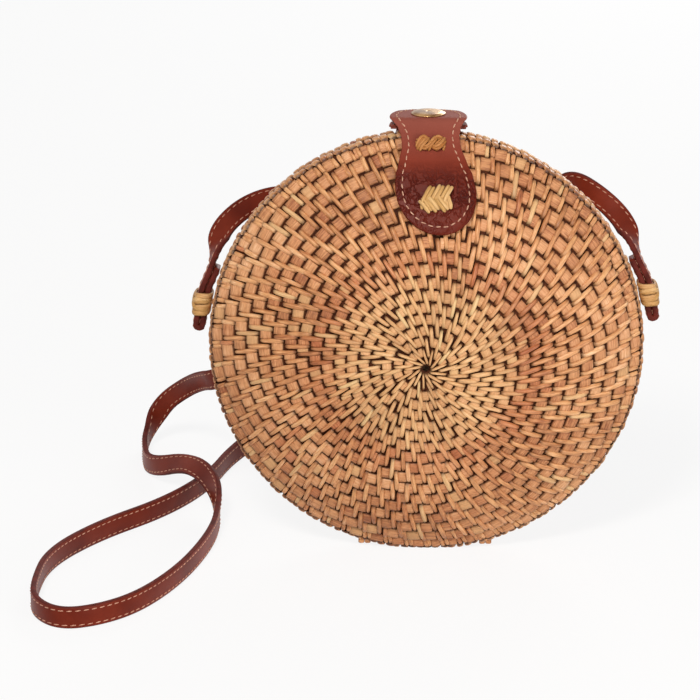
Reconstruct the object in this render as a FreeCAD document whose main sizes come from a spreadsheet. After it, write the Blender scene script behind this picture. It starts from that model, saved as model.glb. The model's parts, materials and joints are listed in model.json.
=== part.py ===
import FreeCAD, Part
import math
import os

# Woven rattan shoulder bag. X runs across the bag, Y runs front to back
# with the front at -Y, Z is up. The bag stands on the flat of its rims.

doc = FreeCAD.newDocument("WovenShoulderBag")
Vector = FreeCAD.Vector

# Driving sizes, in millimetres
sizes = {
    # rim hoops, one per half, meeting at the seam
    "rimRadius": 85.0,
    "rimWidth": 5.6,
    "rimFlatDepth": 4.0,
    "rimShoulderRise": 0.2,
    "flatCut": 0.6,
    "seamGap": 0.15,
    # coiled domes
    "domeDepth": 38.2,
    "domeEdgeInset": 0.8,
    "domeEdgeDepth": 4.5,
    "ridgeHeight": 0.8,
    "shellThickness": 3.2,
    "hubHoleRadius": 1.35,
    "hubEyeRadius": 4.5,
    # cloth linings
    "liningThickness": 1.2,
    "liningSetback": 0.45,
    "liningEdgeGap": 0.8,
    # leather closing tab, its two layers and their seat on the weave
    "leatherSeat": 0.3,
    "leatherTop": 0.8,
    "leatherBack": 0.7,
    "backInset": 0.6,
    "bulbRadius": 15.5,
    "bulbDrop": 18.6,
    "neckHalfWidth": 11.6,
    "tabSplitDepth": 5.2,
    "tabSplitGap": 0.3,
    "tabShiftTop": 0.4,
    "tabShiftBulb": 3.4,
    # flap over the rim
    "flapRun": 5.2,
    "flapEndRadius": 15.0,
    "flapEndCentre": 2.6,
    "flapFlatEnd": 11.4,
    # back tab below the stud
    "backTabStart": 0.3,
    "backTabFlatEnd": 12.6,
    "backTabBend": 1.8,
    "backLandingDrop": 12.5,
    # press snap
    "snapPlace": 6.2,
    "capRadius": 6.7,
    "capEdge": 0.4,
    "capHeight": 1.0,
    "capBevel": 1.2,
    "capPostRadius": 1.2,
    "socketRadius": 5.0,
    "socketHeight": 1.0,
    "socketProud": 0.3,
    "socketBoreDepth": 0.8,
    "studHeadRadius": 1.8,
    "studHeadHeight": 0.8,
    "studFlangeRadius": 4.5,
    "studFlangeHeight": 0.4,
    "rivetRadius": 4.0,
    "rivetHeight": 0.5,
    "rivetPostRadius": 1.0,
    "snapPlay": 0.6,
    "snapRestGap": 0.3,
    "holeGap": 0.1,
    # rattan knots that sew the tabs to the weave
    "knotStrandWidth": 2.3,
    "knotStrandThickness": 0.9,
    "knotStrandLap": 0.2,
    "knotSeat": 0.15,
    "upperKnotLength": 11.0,
    "upperKnotPitch": 3.6,
    "upperKnotDepth": 7.75,
    "lowerKnotLength": 12.5,
    "lowerKnotPitch": 3.5,
    "lowerKnotDrop": 3.9,
    "backKnotRise": 0.6,
    # strap rings at the back rim
    "ringSidePlay": 0.2,
    "ringEndPlay": 0.4,
    "ringWall": 1.1,
    "ringInnerBevel": 0.3,
    "ringOuterBevel": 2.2,
    "ringHeight": 8.7,
    "ringPlace": 6.5,
    "ringSeat": 0.2,
    # leather shoulder strap
    "strapWidth": 8.5,
    "strapThickness": 2.25,
    "strapLegGap": 0.3,
    "strapFoldDrop": 6.9,
    "strapBendHeight": 5.0,
    "strapTipRun": 10.0,
    # rattan lashings that hinge the halves at the bottom
    "lashingPlace": 24.0,
    "lashingWidth": 5.0,
    "lashingThickness": 1.0,
    "lashingLegPlace": 2.4,
    "lashingSlotGap": 0.3,
    "lashingFloorGap": 0.8,
    "lashingTopGap": 0.25,
    # one overrun for every cut
    "cutOverrun": 6.0,
}

# Angles, in degrees
angles = {
    "fullTurn": 360.0,
    "flapTailSlope": 8.0,
    "strapTipLean": 14.0,
    "leftRingAngle": 9.1,
    "rightRingAngle": 12.3,
    "upperKnotLean": 24.0,
    "lowerKnotLean": 36.0,
    "strapSectionTurn": 22.0,
}

rowCount = 16
stitchCount = 34
rowGrowthShare = 0.56
innerBreakShares = (0.37, 0.72)
liningBreakShare = 0.567

sheet = doc.addObject("Spreadsheet::Sheet", "Sizes")
for row, (name, value) in enumerate(list(sizes.items()) + list(angles.items())):
    sheet.set("A" + str(row + 1), name)
    sheet.set("B" + str(row + 1), str(value))
    sheet.setAlias("B" + str(row + 1), name)
doc.recompute()


def size(name):
    return float(sheet.get(name))


rimRadius = size("rimRadius")
rimInner = rimRadius - size("rimWidth")
seamGap = size("seamGap")
discHeight = rimRadius - size("flatCut")
rimTop = discHeight + rimRadius

# The dome is a cap of a sphere; depths are measured from the seam plane
domeRise = size("domeDepth") - size("domeEdgeDepth")
domeEdgeRadius = rimRadius - size("domeEdgeInset")
domeRadius = (domeEdgeRadius ** 2 + domeRise ** 2) / (2 * domeRise)
domeCentre = size("domeDepth") - domeRadius
valleyRadius = domeRadius - size("ridgeHeight")
innerRadius = domeRadius - size("shellThickness")


def depthAt(sphere, radius):
    return domeCentre + math.sqrt(sphere ** 2 - radius ** 2)


innerBreaks = [size("hubHoleRadius")] + [rimInner * share for share in innerBreakShares] + [rimInner]


def innerDepth(radius):
    for near, far in zip(innerBreaks, innerBreaks[1:]):
        if radius <= far:
            break
    share = (radius - near) / (far - near)
    nearDepth = depthAt(innerRadius, near)
    return nearDepth + share * (depthAt(innerRadius, far) - nearDepth)


def unit(a, b):
    run = math.hypot(b[0] - a[0], b[1] - a[1])
    return ((b[0] - a[0]) / run, (b[1] - a[1]) / run)


def offsetPath(points, distance):
    # moves a path to its left by a distance, mitred at its corners
    moved = []
    for index, point in enumerate(points):
        before = unit(points[max(index - 1, 0)], points[max(index - 1, 0) + 1])
        after = unit(points[min(index, len(points) - 2)], points[min(index, len(points) - 2) + 1])
        cosine = before[0] * after[0] + before[1] * after[1]
        reach = distance / (1 + cosine)
        moved.append((point[0] - (before[1] + after[1]) * reach,
                      point[1] + (before[0] + after[0]) * reach))
    return moved


def ribbon(points, leftSide, rightSide):
    return offsetPath(points, leftSide) + list(reversed(offsetPath(points, -rightSide)))


def arcPoints(centre, radius, start, stop, steps):
    points = []
    for step in range(steps + 1):
        turn = math.radians(start + (stop - start) * step / steps)
        points.append((centre[0] + radius * math.cos(turn), centre[1] + radius * math.sin(turn)))
    return points


def newBody(label, shift=(0, 0, 0), tilt=0, axis=(0, 1, 0)):
    body = doc.addObject("PartDesign::Body", label)
    body.Label = label
    body.Placement = FreeCAD.Placement(Vector(*shift), FreeCAD.Rotation(Vector(*axis), tilt))
    return body


def newSketch(body, name, role, loops):
    sketch = body.newObject("Sketcher::SketchObject", body.Label + "_" + name)
    plane = [item for item in body.Origin.OriginFeatures if item.Role == role][0]
    sketch.AttachmentSupport = [(plane, "")]
    sketch.MapMode = "FlatFace"
    for loop in loops:
        if loop[0] == "circle":
            centre = Vector(loop[1][0], loop[1][1], 0)
            sketch.addGeometry(Part.Circle(centre, Vector(0, 0, 1), loop[2]), False)
            continue
        ends = loop[1:] + loop[:1]
        for start, stop in zip(loop, ends):
            line = Part.LineSegment(Vector(start[0], start[1], 0), Vector(stop[0], stop[1], 0))
            sketch.addGeometry(line, False)
    return sketch


def turned(body, sketch):
    solid = body.newObject("PartDesign::Revolution", body.Label + "_turn")
    solid.Profile = sketch
    solid.ReferenceAxis = (sketch, ["V_Axis"])
    solid.setExpression("Angle", "Sizes.fullTurn")
    doc.recompute()
    return solid


def padded(body, sketch, length, symmetric=True):
    solid = body.newObject("PartDesign::Pad", body.Label + "_pad")
    solid.Profile = sketch
    if symmetric:
        solid.SideType = "Symmetric"
    solid.setExpression("Length", length)
    doc.recompute()
    return solid


def cutThrough(body, sketch, name, symmetric=True):
    before = body.Shape.Volume
    cut = body.newObject("PartDesign::Pocket", body.Label + "_" + name)
    cut.Profile = sketch
    cut.Type = "ThroughAll"
    if symmetric:
        cut.SideType = "Symmetric"
    doc.recompute()
    if not body.Shape.Volume < before:
        raise ValueError(body.Label + " " + name + " removed nothing")
    return cut


# Row edges of a dome, as radii: the rows widen evenly from hub to rim
eyeArc = valleyRadius * math.asin(size("hubEyeRadius") / valleyRadius)
edgeArc = valleyRadius * math.asin(rimInner / valleyRadius)
rowShares = [1 + rowGrowthShare * row / (rowCount - 1) for row in range(rowCount)]
rowArcs = [eyeArc]
for share in rowShares:
    rowArcs.append(rowArcs[-1] + (edgeArc - eyeArc) * share / sum(rowShares))


def spherePoint(sphere, arc):
    turn = arc / valleyRadius
    return (sphere * math.sin(turn), domeCentre + sphere * math.cos(turn))


holeArc = valleyRadius * math.asin(size("hubHoleRadius") / valleyRadius)
domeOutline = [spherePoint(valleyRadius, holeArc), spherePoint(domeRadius, (holeArc + eyeArc) / 2)]
for near, far in zip(rowArcs, rowArcs[1:]):
    domeOutline.append(spherePoint(valleyRadius, near))
    domeOutline.append(spherePoint(domeRadius, far))
domeOutline[-1] = (rimInner, depthAt(domeRadius, rimInner))
for radius in reversed(innerBreaks):
    domeOutline.append((radius, depthAt(innerRadius, radius)))

rimShoulder = depthAt(valleyRadius, rimInner) + size("rimShoulderRise")
rimOutline = [(rimInner, seamGap), (rimRadius, seamGap), (rimRadius, size("rimFlatDepth")),
              (rimInner, rimShoulder)]

liningRadii = [size("hubHoleRadius"), rimInner * liningBreakShare, rimInner - size("liningEdgeGap")]
liningFaces = [(radius, innerDepth(radius) - size("liningSetback")) for radius in liningRadii]
liningFaces[0] = (0, liningFaces[0][1])
liningOutline = liningFaces + [(radius, depth - size("liningThickness"))
                               for radius, depth in reversed(liningFaces)]

nodes = []
slotHalfWidth = size("lashingWidth") / 2 + size("lashingSlotGap")
slotHalfDepth = size("lashingThickness") / 2 + size("lashingSlotGap")


def stitchedHull(label, outline, side):
    # the stitches bind each turn into short straight lengths, so the hull is
    # turned in steps, one flat facet for each length of each row
    faces = []
    for step in range(stitchCount):
        seams = []
        for seam in (step, step + 1):
            turn = math.radians(size("fullTurn") * seam / stitchCount)
            seams.append([Vector(radius * math.cos(turn), side * depth, radius * math.sin(turn))
                          for radius, depth in outline])
        for index in range(len(outline)):
            corners = [seams[0][index - 1], seams[0][index], seams[1][index], seams[1][index - 1]]
            kept = [corner for place, corner in enumerate(corners)
                    if not corner.isEqual(corners[place - 1], seamGap)]
            if len(kept) > 2:
                faces.append(Part.Face(Part.makePolygon(kept + kept[:1])))
    hull = Part.makeSolid(Part.makeShell(faces))
    if hull.Volume < 0:
        hull.reverse()
    node = doc.addObject("Part::Feature", label)
    node.Label = label
    node.Shape = hull
    node.Placement = FreeCAD.Placement(Vector(0, 0, discHeight), FreeCAD.Rotation())
    nodes.append(node)


for half, side in (("front", -1), ("back", 1)):
    stitchedHull(half + "_shell", domeOutline, side)

    rim = newBody(half + "_rim", (0, 0, discHeight))
    loop = [(radius, side * depth) for radius, depth in rimOutline]
    turned(rim, newSketch(rim, "profile", "XY_Plane", [loop]))
    cutHalf = rimRadius + size("cutOverrun")
    cutTop = -discHeight
    block = [(-cutHalf, cutTop), (cutHalf, cutTop), (cutHalf, -cutHalf), (-cutHalf, -cutHalf)]
    cutThrough(rim, newSketch(rim, "flat", "XZ_Plane", [block]), "foot")
    slots = []
    for place in (-size("lashingPlace"), size("lashingPlace")):
        left, right = place - slotHalfWidth, place + slotHalfWidth
        near = side * (size("lashingLegPlace") - slotHalfDepth)
        far = side * (size("lashingLegPlace") + slotHalfDepth)
        slots.append([(left, near), (right, near), (right, far), (left, far)])
    cutThrough(rim, newSketch(rim, "slots", "XY_Plane", slots), "slotCut", False)
    nodes.append(rim)

    stitchedHull(half + "_lining", liningOutline, side)

# Leather layers: the outer face follows a path in the side view
leather = size("leatherTop") + size("leatherBack")
tabRadius = domeRadius + size("leatherSeat") + leather
backTabTop = rimTop + size("leatherSeat") + leather
studTop = backTabTop + size("studFlangeHeight") + size("studHeadHeight")
flapTop = studTop + size("snapRestGap") + size("socketProud") + leather
domeSteps = 5


def tabPoint(turn):
    return (domeCentre + tabRadius * math.cos(turn), tabRadius * math.sin(turn))


bulbHeight = rimRadius - size("bulbDrop")
bulbBottom = bulbHeight - size("bulbRadius")
lowTurn = math.asin((bulbBottom - size("bulbRadius") / 2) / domeRadius)
splitTurn = math.acos((size("tabSplitDepth") - domeCentre) / domeRadius)
frontPath = []
for step in range(domeSteps + 1):
    depth, height = tabPoint(lowTurn + (splitTurn - lowTurn) * step / domeSteps)
    frontPath.append((-depth, height))

flapTurn = splitTurn + size("tabSplitGap") / tabRadius
flapStart = (-tabPoint(flapTurn)[0], tabPoint(flapTurn)[1])
rise = (math.sin(flapTurn), math.cos(flapTurn))
flapKnee = (flapStart[0] + rise[0] * size("flapRun"), flapStart[1] + rise[1] * size("flapRun"))
kneeAngle = math.degrees(math.atan2(rise[1], rise[0]))
flapBend = (flapTop - discHeight - flapKnee[1]) / (1 - math.cos(math.radians(kneeAngle)))
bendCentre = (flapKnee[0] + flapBend * rise[1], flapTop - discHeight - flapBend)
flapBendSteps = 4
flapPath = [flapStart] + arcPoints(bendCentre, flapBend, 90 + kneeAngle, 90, flapBendSteps)
tailReach = size("flapEndCentre") + size("flapEndRadius") + size("cutOverrun")
tailSlope = math.tan(math.radians(size("flapTailSlope")))
flapPath.append((size("flapFlatEnd"), flapTop - discHeight))
tailDrop = (tailReach - size("flapFlatEnd")) * tailSlope
flapPath.append((tailReach, flapTop - discHeight - tailDrop))

# The hinge of the flap lies on the outer face, in the middle of the split
hingeTurn = (splitTurn + flapTurn) / 2
hingePoint = (-tabPoint(hingeTurn)[0], tabPoint(hingeTurn)[1] + discHeight)

landingTurn = math.asin((rimRadius - size("backLandingDrop")) / tabRadius)
landing = tabPoint(landingTurn)
corner = (size("backTabFlatEnd"), backTabTop - discHeight)
fall = unit(corner, landing)
bendEnd = (corner[0] + fall[0] * size("backTabBend"), corner[1] + fall[1] * size("backTabBend"))
bendStart = (corner[0] - size("backTabBend"), corner[1])
backPath = [(size("backTabStart"), corner[1]), bendStart]
backBendSteps = 3
for step in range(1, backBendSteps):
    share = step / backBendSteps
    lead = (bendStart[0] + (corner[0] - bendStart[0]) * share, corner[1])
    trail = (corner[0] + (bendEnd[0] - corner[0]) * share, corner[1] + (bendEnd[1] - corner[1]) * share)
    backPath.append((lead[0] + (trail[0] - lead[0]) * share, lead[1] + (trail[1] - lead[1]) * share))
backPath.append(bendEnd)
backSteps = 4
for step in range(backSteps + 1):
    backPath.append(tabPoint(landingTurn + (lowTurn - landingTurn) * step / backSteps))


def leanAt(height):
    # the tab leans: its middle moves across between the bulb and the rim
    share = (height - bulbHeight) / (flapTop - discHeight - bulbHeight)
    return size("tabShiftBulb") + (size("tabShiftTop") - size("tabShiftBulb")) * share


bulbSteps = 14
bulbOverhang = 14


def bulbOutline(inset, top, leaning):
    radius = size("bulbRadius") - inset
    points = arcPoints((0, bulbHeight), radius, bulbOverhang, -180 - bulbOverhang, bulbSteps)
    neck = size("neckHalfWidth") - inset
    points = [(neck, top)] + points + [(-neck, top)]
    if leaning:
        points = [(across + leanAt(height), height) for across, height in points]
    return points


def frameAround(points, margin):
    wide = max(abs(point[0]) for point in points) + margin
    low = min(point[1] for point in points) - margin
    high = max(point[1] for point in points) + margin
    return [(-wide, low), (wide, low), (wide, high), (-wide, high)]


def leatherLayer(label, path, depth, thickness, outline, role, sideways=0):
    # pads the side view across the tab, then trims it to its outline
    body = newBody(label, (sideways, 0, discHeight))
    layer = offsetPath(path, depth) + list(reversed(offsetPath(path, depth + thickness)))
    padded(body, newSketch(body, "side", "YZ_Plane", [layer]), "4 * Sizes.bulbRadius")
    border = frameAround(outline, 4 * size("cutOverrun"))
    cutThrough(body, newSketch(body, "outline", role, [border, outline]), "trim")
    nodes.append(body)
    return body


def roundHole(body, place, radius):
    hole = newSketch(body, "hole", "XY_Plane", [("circle", place, radius)])
    cutThrough(body, hole, "bore")


topLayer, backLayer = size("leatherTop"), size("leatherBack")
backInset = size("backInset")
tabTopHeight = tabRadius * math.sin(splitTurn) + size("cutOverrun")
backTabTopHeight = corner[1] + size("cutOverrun")
frontPath.reverse()
leatherLayer("front_tab", frontPath, 0, topLayer, bulbOutline(0, tabTopHeight, True), "XZ_Plane")
leatherLayer("front_tab_backing", frontPath, topLayer, backLayer,
             bulbOutline(backInset, tabTopHeight, True), "XZ_Plane")


def flapOutline(inset):
    radius = size("flapEndRadius") - inset
    neck = size("neckHalfWidth") - inset
    foot = flapStart[0] - size("cutOverrun")
    points = arcPoints((0, size("flapEndCentre")), radius, -bulbOverhang, 180 + bulbOverhang, bulbSteps)
    return [(neck, foot), (neck, flapKnee[0])] + points + [(-neck, flapKnee[0]), (-neck, foot)]


snapSpot = (0, size("snapPlace"))
flapShift = size("tabShiftTop")
flapPath.reverse()
flap = leatherLayer("tab_flap", flapPath, 0, topLayer, flapOutline(0), "XY_Plane", flapShift)
roundHole(flap, snapSpot, size("capPostRadius") + size("holeGap"))
flapBack = leatherLayer("tab_flap_backing", flapPath, topLayer, backLayer,
                        flapOutline(backInset), "XY_Plane", flapShift)
roundHole(flapBack, snapSpot, size("socketRadius") + size("holeGap"))

backPath.reverse()
backTab = leatherLayer("back_tab", backPath, 0, topLayer,
                       bulbOutline(0, backTabTopHeight, False), "XZ_Plane", flapShift)
roundHole(backTab, snapSpot, size("rivetPostRadius") + size("holeGap"))
backTabBack = leatherLayer("back_tab_backing", backPath, topLayer, backLayer,
                           bulbOutline(backInset, backTabTopHeight, False), "XZ_Plane", flapShift)
roundHole(backTabBack, snapSpot, size("rivetRadius") + size("holeGap"))


# Press snap: cap and socket on the flap, stud and rivet on the back tab
def snapPiece(label, outline, height):
    body = newBody(label, (flapShift, size("snapPlace"), height))
    turned(body, newSketch(body, "profile", "XZ_Plane", [outline]))
    nodes.append(body)


capRadius, capPost = size("capRadius"), size("capPostRadius")
capFace = capRadius - size("capBevel")
snapPiece("snap_cap", [(0, -topLayer), (capPost, -topLayer), (capPost, 0), (capRadius, 0),
                       (capRadius, size("capEdge")), (capFace, size("capHeight")),
                       (0, size("capHeight"))], flapTop)
socketRadius, socketHeight = size("socketRadius"), size("socketHeight")
boreRadius = size("studHeadRadius") + size("snapPlay")
boreDepth = size("socketBoreDepth")
snapPiece("snap_socket", [(boreRadius, 0), (socketRadius, 0), (socketRadius, socketHeight),
                          (0, socketHeight), (0, boreDepth), (boreRadius, boreDepth)],
          studTop + size("snapRestGap"))
flange, flangeHeight = size("studFlangeRadius"), size("studFlangeHeight")
head, headTop = size("studHeadRadius"), flangeHeight + size("studHeadHeight")
snapPiece("snap_stud", [(0, 0), (flange, 0), (flange, flangeHeight), (head, flangeHeight),
                        (head, headTop), (0, headTop)], backTabTop)
rivet, post = size("rivetRadius"), size("rivetPostRadius")
plateTop = -topLayer - size("holeGap")
plateFoot = plateTop - size("rivetHeight")
snapPiece("snap_rivet", [(0, plateFoot), (rivet, plateFoot), (rivet, plateTop), (post, plateTop),
                         (post, 0), (0, 0)], backTabTop)

# Knots of rattan strand over the leather
strandWidth, strandThickness = size("knotStrandWidth"), size("knotStrandThickness")


def knot(label, turn, side, across, length, layers):
    spot = tabPoint(turn)
    normal = Vector(0, side * math.cos(turn), math.sin(turn))
    foot = Vector(across, side * spot[0], discHeight + spot[1]) + normal * size("knotSeat")
    frame = FreeCAD.Rotation(Vector(0, 0, 1), normal)
    strands = []
    for level, (lean, offsets) in enumerate(layers):
        for offset in offsets:
            strand = doc.addObject("Part::Box", label + "_strand")
            strand.setExpression("Width", "Sizes.knotStrandWidth")
            strand.setExpression("Height", "Sizes.knotStrandThickness")
            strand.Length = length
            lift = level * (strandThickness - size("knotStrandLap"))
            spin = FreeCAD.Rotation(Vector(0, 0, 1), lean)
            place = spin.multVec(Vector(-length / 2, offset - strandWidth / 2, lift))
            strand.Placement = FreeCAD.Placement(foot + frame.multVec(place), frame.multiply(spin))
            strands.append(strand)
    whole = doc.addObject("Part::MultiFuse", label)
    whole.Label = label
    whole.Shapes = strands
    doc.recompute()
    nodes.append(whole)


upperTurn = math.acos((size("upperKnotDepth") - domeCentre) / domeRadius)
lowerTurn = math.asin((bulbHeight - size("lowerKnotDrop")) / domeRadius)
backTurn = math.asin((bulbHeight + size("backKnotRise")) / domeRadius)
backLowerTurn = backTurn - (splitTurn - lowerTurn) / 2
halfPitch = size("upperKnotPitch") / 2
upperLean = size("upperKnotLean")
lowerPitch, lowerLean = size("lowerKnotPitch"), size("lowerKnotLean")
upperLayers = [(0, (-halfPitch, halfPitch)), (upperLean, (0,)), (-upperLean, (0,))]
lowerLayers = [(lowerLean, (-lowerPitch, 0, lowerPitch)), (-lowerLean, (-lowerPitch, 0, lowerPitch))]
upperLength, lowerLength = size("upperKnotLength"), size("lowerKnotLength")
knot("tab_knot_upper", upperTurn, -1, leanAt(tabPoint(upperTurn)[1]), upperLength, upperLayers)
knot("tab_knot_lower", lowerTurn, -1, leanAt(tabPoint(lowerTurn)[1]), lowerLength, lowerLayers)
knot("back_tab_knot_upper", backTurn, 1, flapShift, upperLength, upperLayers)
knot("back_tab_knot_lower", backLowerTurn, 1, flapShift, lowerLength, lowerLayers)

# Oval rings on the back rim, and the strap ends folded through them
innerAcross = size("strapThickness") + size("strapLegGap") / 2 + size("ringSidePlay")
innerAlong = size("strapWidth") / 2 + size("ringEndPlay")
outerAcross, outerAlong = innerAcross + size("ringWall"), innerAlong + size("ringWall")
ringRadius = rimRadius + size("ringSeat") + outerAcross
strapHalf = size("strapThickness") / 2
legPlace = strapHalf + size("strapLegGap") / 2
foldLow = -size("ringHeight") / 2 - size("strapFoldDrop")
foldCentre = foldLow + legPlace + strapHalf
lean = math.radians(size("strapTipLean"))
tipRun = (-math.sin(lean) * size("strapTipRun"), math.cos(lean) * size("strapTipRun"))
bendHeight = size("strapBendHeight")
foldSteps = 6
strapEnds = {}


def bevelled(across, along, bevel):
    points = [(across, along - bevel), (across - bevel, along)]
    points += [(-x, y) for x, y in reversed(points)]
    return points + [(-x, -y) for x, y in points]


for name, side, angle in (("left", -1, size("leftRingAngle")), ("right", 1, size("rightRingAngle"))):
    turn = math.radians(angle)
    spot = (side * ringRadius * math.cos(turn), size("ringPlace"),
            discHeight + ringRadius * math.sin(turn))
    ring = newBody("strap_ring_" + name, spot, -side * angle)
    loops = [bevelled(outerAcross, outerAlong, size("ringOuterBevel")),
             bevelled(innerAcross, innerAlong, size("ringInnerBevel"))]
    padded(ring, newSketch(ring, "oval", "XY_Plane", loops), "Sizes.ringHeight")
    nodes.append(ring)

    end = newBody("strap_end_" + name, spot, -side * angle)
    path = [(-legPlace + tipRun[0], bendHeight + tipRun[1]), (-legPlace, bendHeight)]
    path += arcPoints((0, foldCentre), legPlace, 180, 360, foldSteps)
    path += [(legPlace, bendHeight), (legPlace + tipRun[0], bendHeight + tipRun[1])]
    fold = [(side * x, z) for x, z in ribbon(path, strapHalf, strapHalf)]
    padded(end, newSketch(end, "fold", "XZ_Plane", [fold]), "Sizes.strapWidth")
    nodes.append(end)
    tip = Vector(side * path[-1][0], 0, path[-1][1])
    way = Vector(side * tipRun[0], 0, tipRun[1]).normalize()
    strapEnds[name] = (end.Placement.multVec(tip), end.Placement.Rotation.multVec(way))

# Lashings: closed loops of strand through slots in both rims
place, reach = size("lashingPlace"), size("lashingWidth") / 2
nearSide, farSide = place - reach, place + reach
barTop = size("lashingFloorGap") + size("lashingThickness")
insideFoot = discHeight - math.sqrt(rimInner ** 2 - farSide ** 2) + size("lashingTopGap")
legInner = size("lashingLegPlace") - size("lashingThickness") / 2
legOuter = size("lashingLegPlace") + size("lashingThickness") / 2
for name, side in (("left", -1), ("right", 1)):
    lashing = newBody("hinge_lashing_" + name, (side * place, 0, 0))
    loops = []
    insideTop = insideFoot + size("lashingThickness")
    for half, low, high in ((legOuter, size("lashingFloorGap"), insideTop), (legInner, barTop, insideFoot)):
        loops.append([(-half, low), (half, low), (half, high), (-half, high)])
    padded(lashing, newSketch(lashing, "loop", "YZ_Plane", loops), "Sizes.lashingWidth")
    nodes.append(lashing)

# Shoulder strap: corner points of its middle line, left ring to right ring,
# each with the direction of the strap's width where that is set
strapRoute = [
    (None, (0, 1, 0)),
    ((-82.5, 8.0, 119.0), None),
    ((-80.8, 17.5, 125.8), None),
    ((-70.0, 29.5, 132.5), (-0.61, 0.23, 0.76)),
    ((-55.0, 40.0, 133.5), (-0.2, 0.2, 0.95)),
    ((-42.0, 45.5, 124.5), (0.5, 0.2, 0.75)),
    ((-36.5, 52.5, 104.0), (0.73, 0.12, 0.38)),
    ((-44.0, 64.0, 73.0), (0.73, 0.0, -0.4)),
    ((-66.5, 78.0, 52.5), (0.3, -0.22, -0.72)),
    ((-88.5, 86.0, 41.0), (0.3, -0.25, -0.8)),
    ((-94.5, 102.0, 36.0), (0.5, -0.25, -0.84)),
    ((-102.0, 118.5, 28.0), (0.4, -0.2, -0.84)),
    ((-113.0, 128.0, 17.5), (0.1, -0.1, -1)),
    ((-119.5, 121.5, 5.5), (0, 0, -1)),
    ((-119.5, 104.5, 4.5), (0, 0, -1)),
    ((-116.0, 79.5, 4.5), (0, 0, -1)),
    ((-96.0, 56.0, 15.5), (-0.58, -0.4, -0.71)),
    ((-85.0, 36.0, 12.0), (-0.3, -0.2, -0.9)),
    ((-83.0, 15.0, 4.6), (0, 0, -1)),
    ((-86.0, -14.0, 4.5), (0, 0, -1)),
    ((-94.5, -48.5, 4.5), (0, 0, -1)),
    ((-107.5, -78.0, 4.5), (0, 0, -1)),
    ((-121.5, -93.0, 4.5), (0, 0, -1)),
    ((-136.5, -98.5, 4.5), (0, 0, -1)),
    ((-147.5, -85.5, 4.5), (0, 0, -1)),
    ((-149.5, -66.0, 4.5), (0, 0, -1)),
    ((-147.5, -32.5, 4.5), (0, 0, -1)),
    ((-130.5, 0.5, 4.5), (0, 0, -1)),
    ((-105.5, 30.0, 4.5), (0, 0, -1)),
    ((-89.5, 63.0, 4.5), (0, 0, -1)),
    ((-82.0, 98.5, 4.5), (0, 0, -1)),
    ((-66.5, 117.0, 10.0), (0.1, 0, -1)),
    ((-30.0, 128.0, 18.5), (0.2, -0.1, -0.9)),
    ((6.0, 122.0, 29.0), (0.4, -0.15, -0.8)),
    ((31.0, 103.5, 53.0), (0.78, -0.18, -0.6)),
    ((43.5, 82.5, 80.0), (0.8, -0.1, -0.4)),
    ((50.0, 62.0, 106.0), (0.8, -0.05, -0.25)),
    ((52.0, 47.0, 132.0), (0.67, -0.04, -0.14)),
    ((57.0, 37.0, 141.5), (0.3, -0.2, -0.7)),
    ((69.0, 26.5, 136.0), (-0.36, -0.21, -0.72)),
    ((77.2, 18.5, 129.3), None),
    ((80.4, 8.8, 123.0), None),
    (None, (0, -1, 0)),
]
strapSplits = (11, 31)
runShare = 0.45

corners = [strapEnds["left"][0]]
corners += [Vector(*spot) for spot, width in strapRoute[1:-1]]
corners.append(strapEnds["right"][0])
# stations along the middle line: place, direction, length so far, corner reached
stations = [(corners[0], strapEnds["left"][1], 0.0, 0.0)]
length = 0.0
for index in range(1, len(corners) - 1):
    into, out = corners[index] - corners[index - 1], corners[index + 1] - corners[index]
    cut = runShare * min(into.Length, out.Length)
    into.normalize()
    out.normalize()
    turn = into.getAngle(out)
    radius = cut / math.tan(turn / 2)
    begin = corners[index] - into * cut
    centre = begin + (out - into * into.dot(out)).normalize() * radius
    length += (begin - stations[-1][0]).Length
    print("strap corner", index, "turn", round(math.degrees(turn), 1), "radius", round(radius, 1))
    steps = max(1, math.ceil(math.degrees(turn) / size("strapSectionTurn")))
    for step in range(steps + 1):
        share = step / steps
        swing = FreeCAD.Rotation(into.cross(out), math.degrees(turn) * share)
        stations.append((centre + swing.multVec(begin - centre), swing.multVec(into),
                         length + radius * turn * share, index + runShare * (2 * share - 1)))
    length += radius * turn
length += (corners[-1] - stations[-1][0]).Length
stations.append((corners[-1], strapEnds["right"][1] * -1, length, len(corners) - 1.0))


def widthAt(corner):
    # the width turns evenly between the corners that set it
    marks = [index for index, row in enumerate(strapRoute) if row[1]]
    before = max(mark for mark in marks if mark <= corner)
    after = min(mark for mark in marks if mark >= corner)
    share = 0 if after == before else (corner - before) / (after - before)
    first, second = Vector(*strapRoute[before][1]), Vector(*strapRoute[after][1])
    return first * (1 - share) + second * share


def strapSection(station):
    spot, along, reached, corner = station
    width = widthAt(corner)
    width = (width - along * width.dot(along)).normalize() * (size("strapWidth") / 2)
    depth = along.cross(width).normalize() * strapHalf
    points = [spot + width + depth, spot - width + depth, spot - width - depth, spot + width - depth]
    return points


def strapSolid(sections):
    faces = [Part.Face(Part.makePolygon(ends + ends[:1])) for ends in (sections[0], sections[-1])]
    for near, far in zip(sections, sections[1:]):
        for edge in range(4):
            a, b = near[edge], near[edge - 1]
            c, d = far[edge - 1], far[edge]
            faces.append(Part.Face(Part.makePolygon([a, b, c, a])))
            faces.append(Part.Face(Part.makePolygon([a, c, d, a])))
    solid = Part.makeSolid(Part.makeShell(faces))
    if solid.Volume < 0:
        solid.reverse()
    return solid


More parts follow.
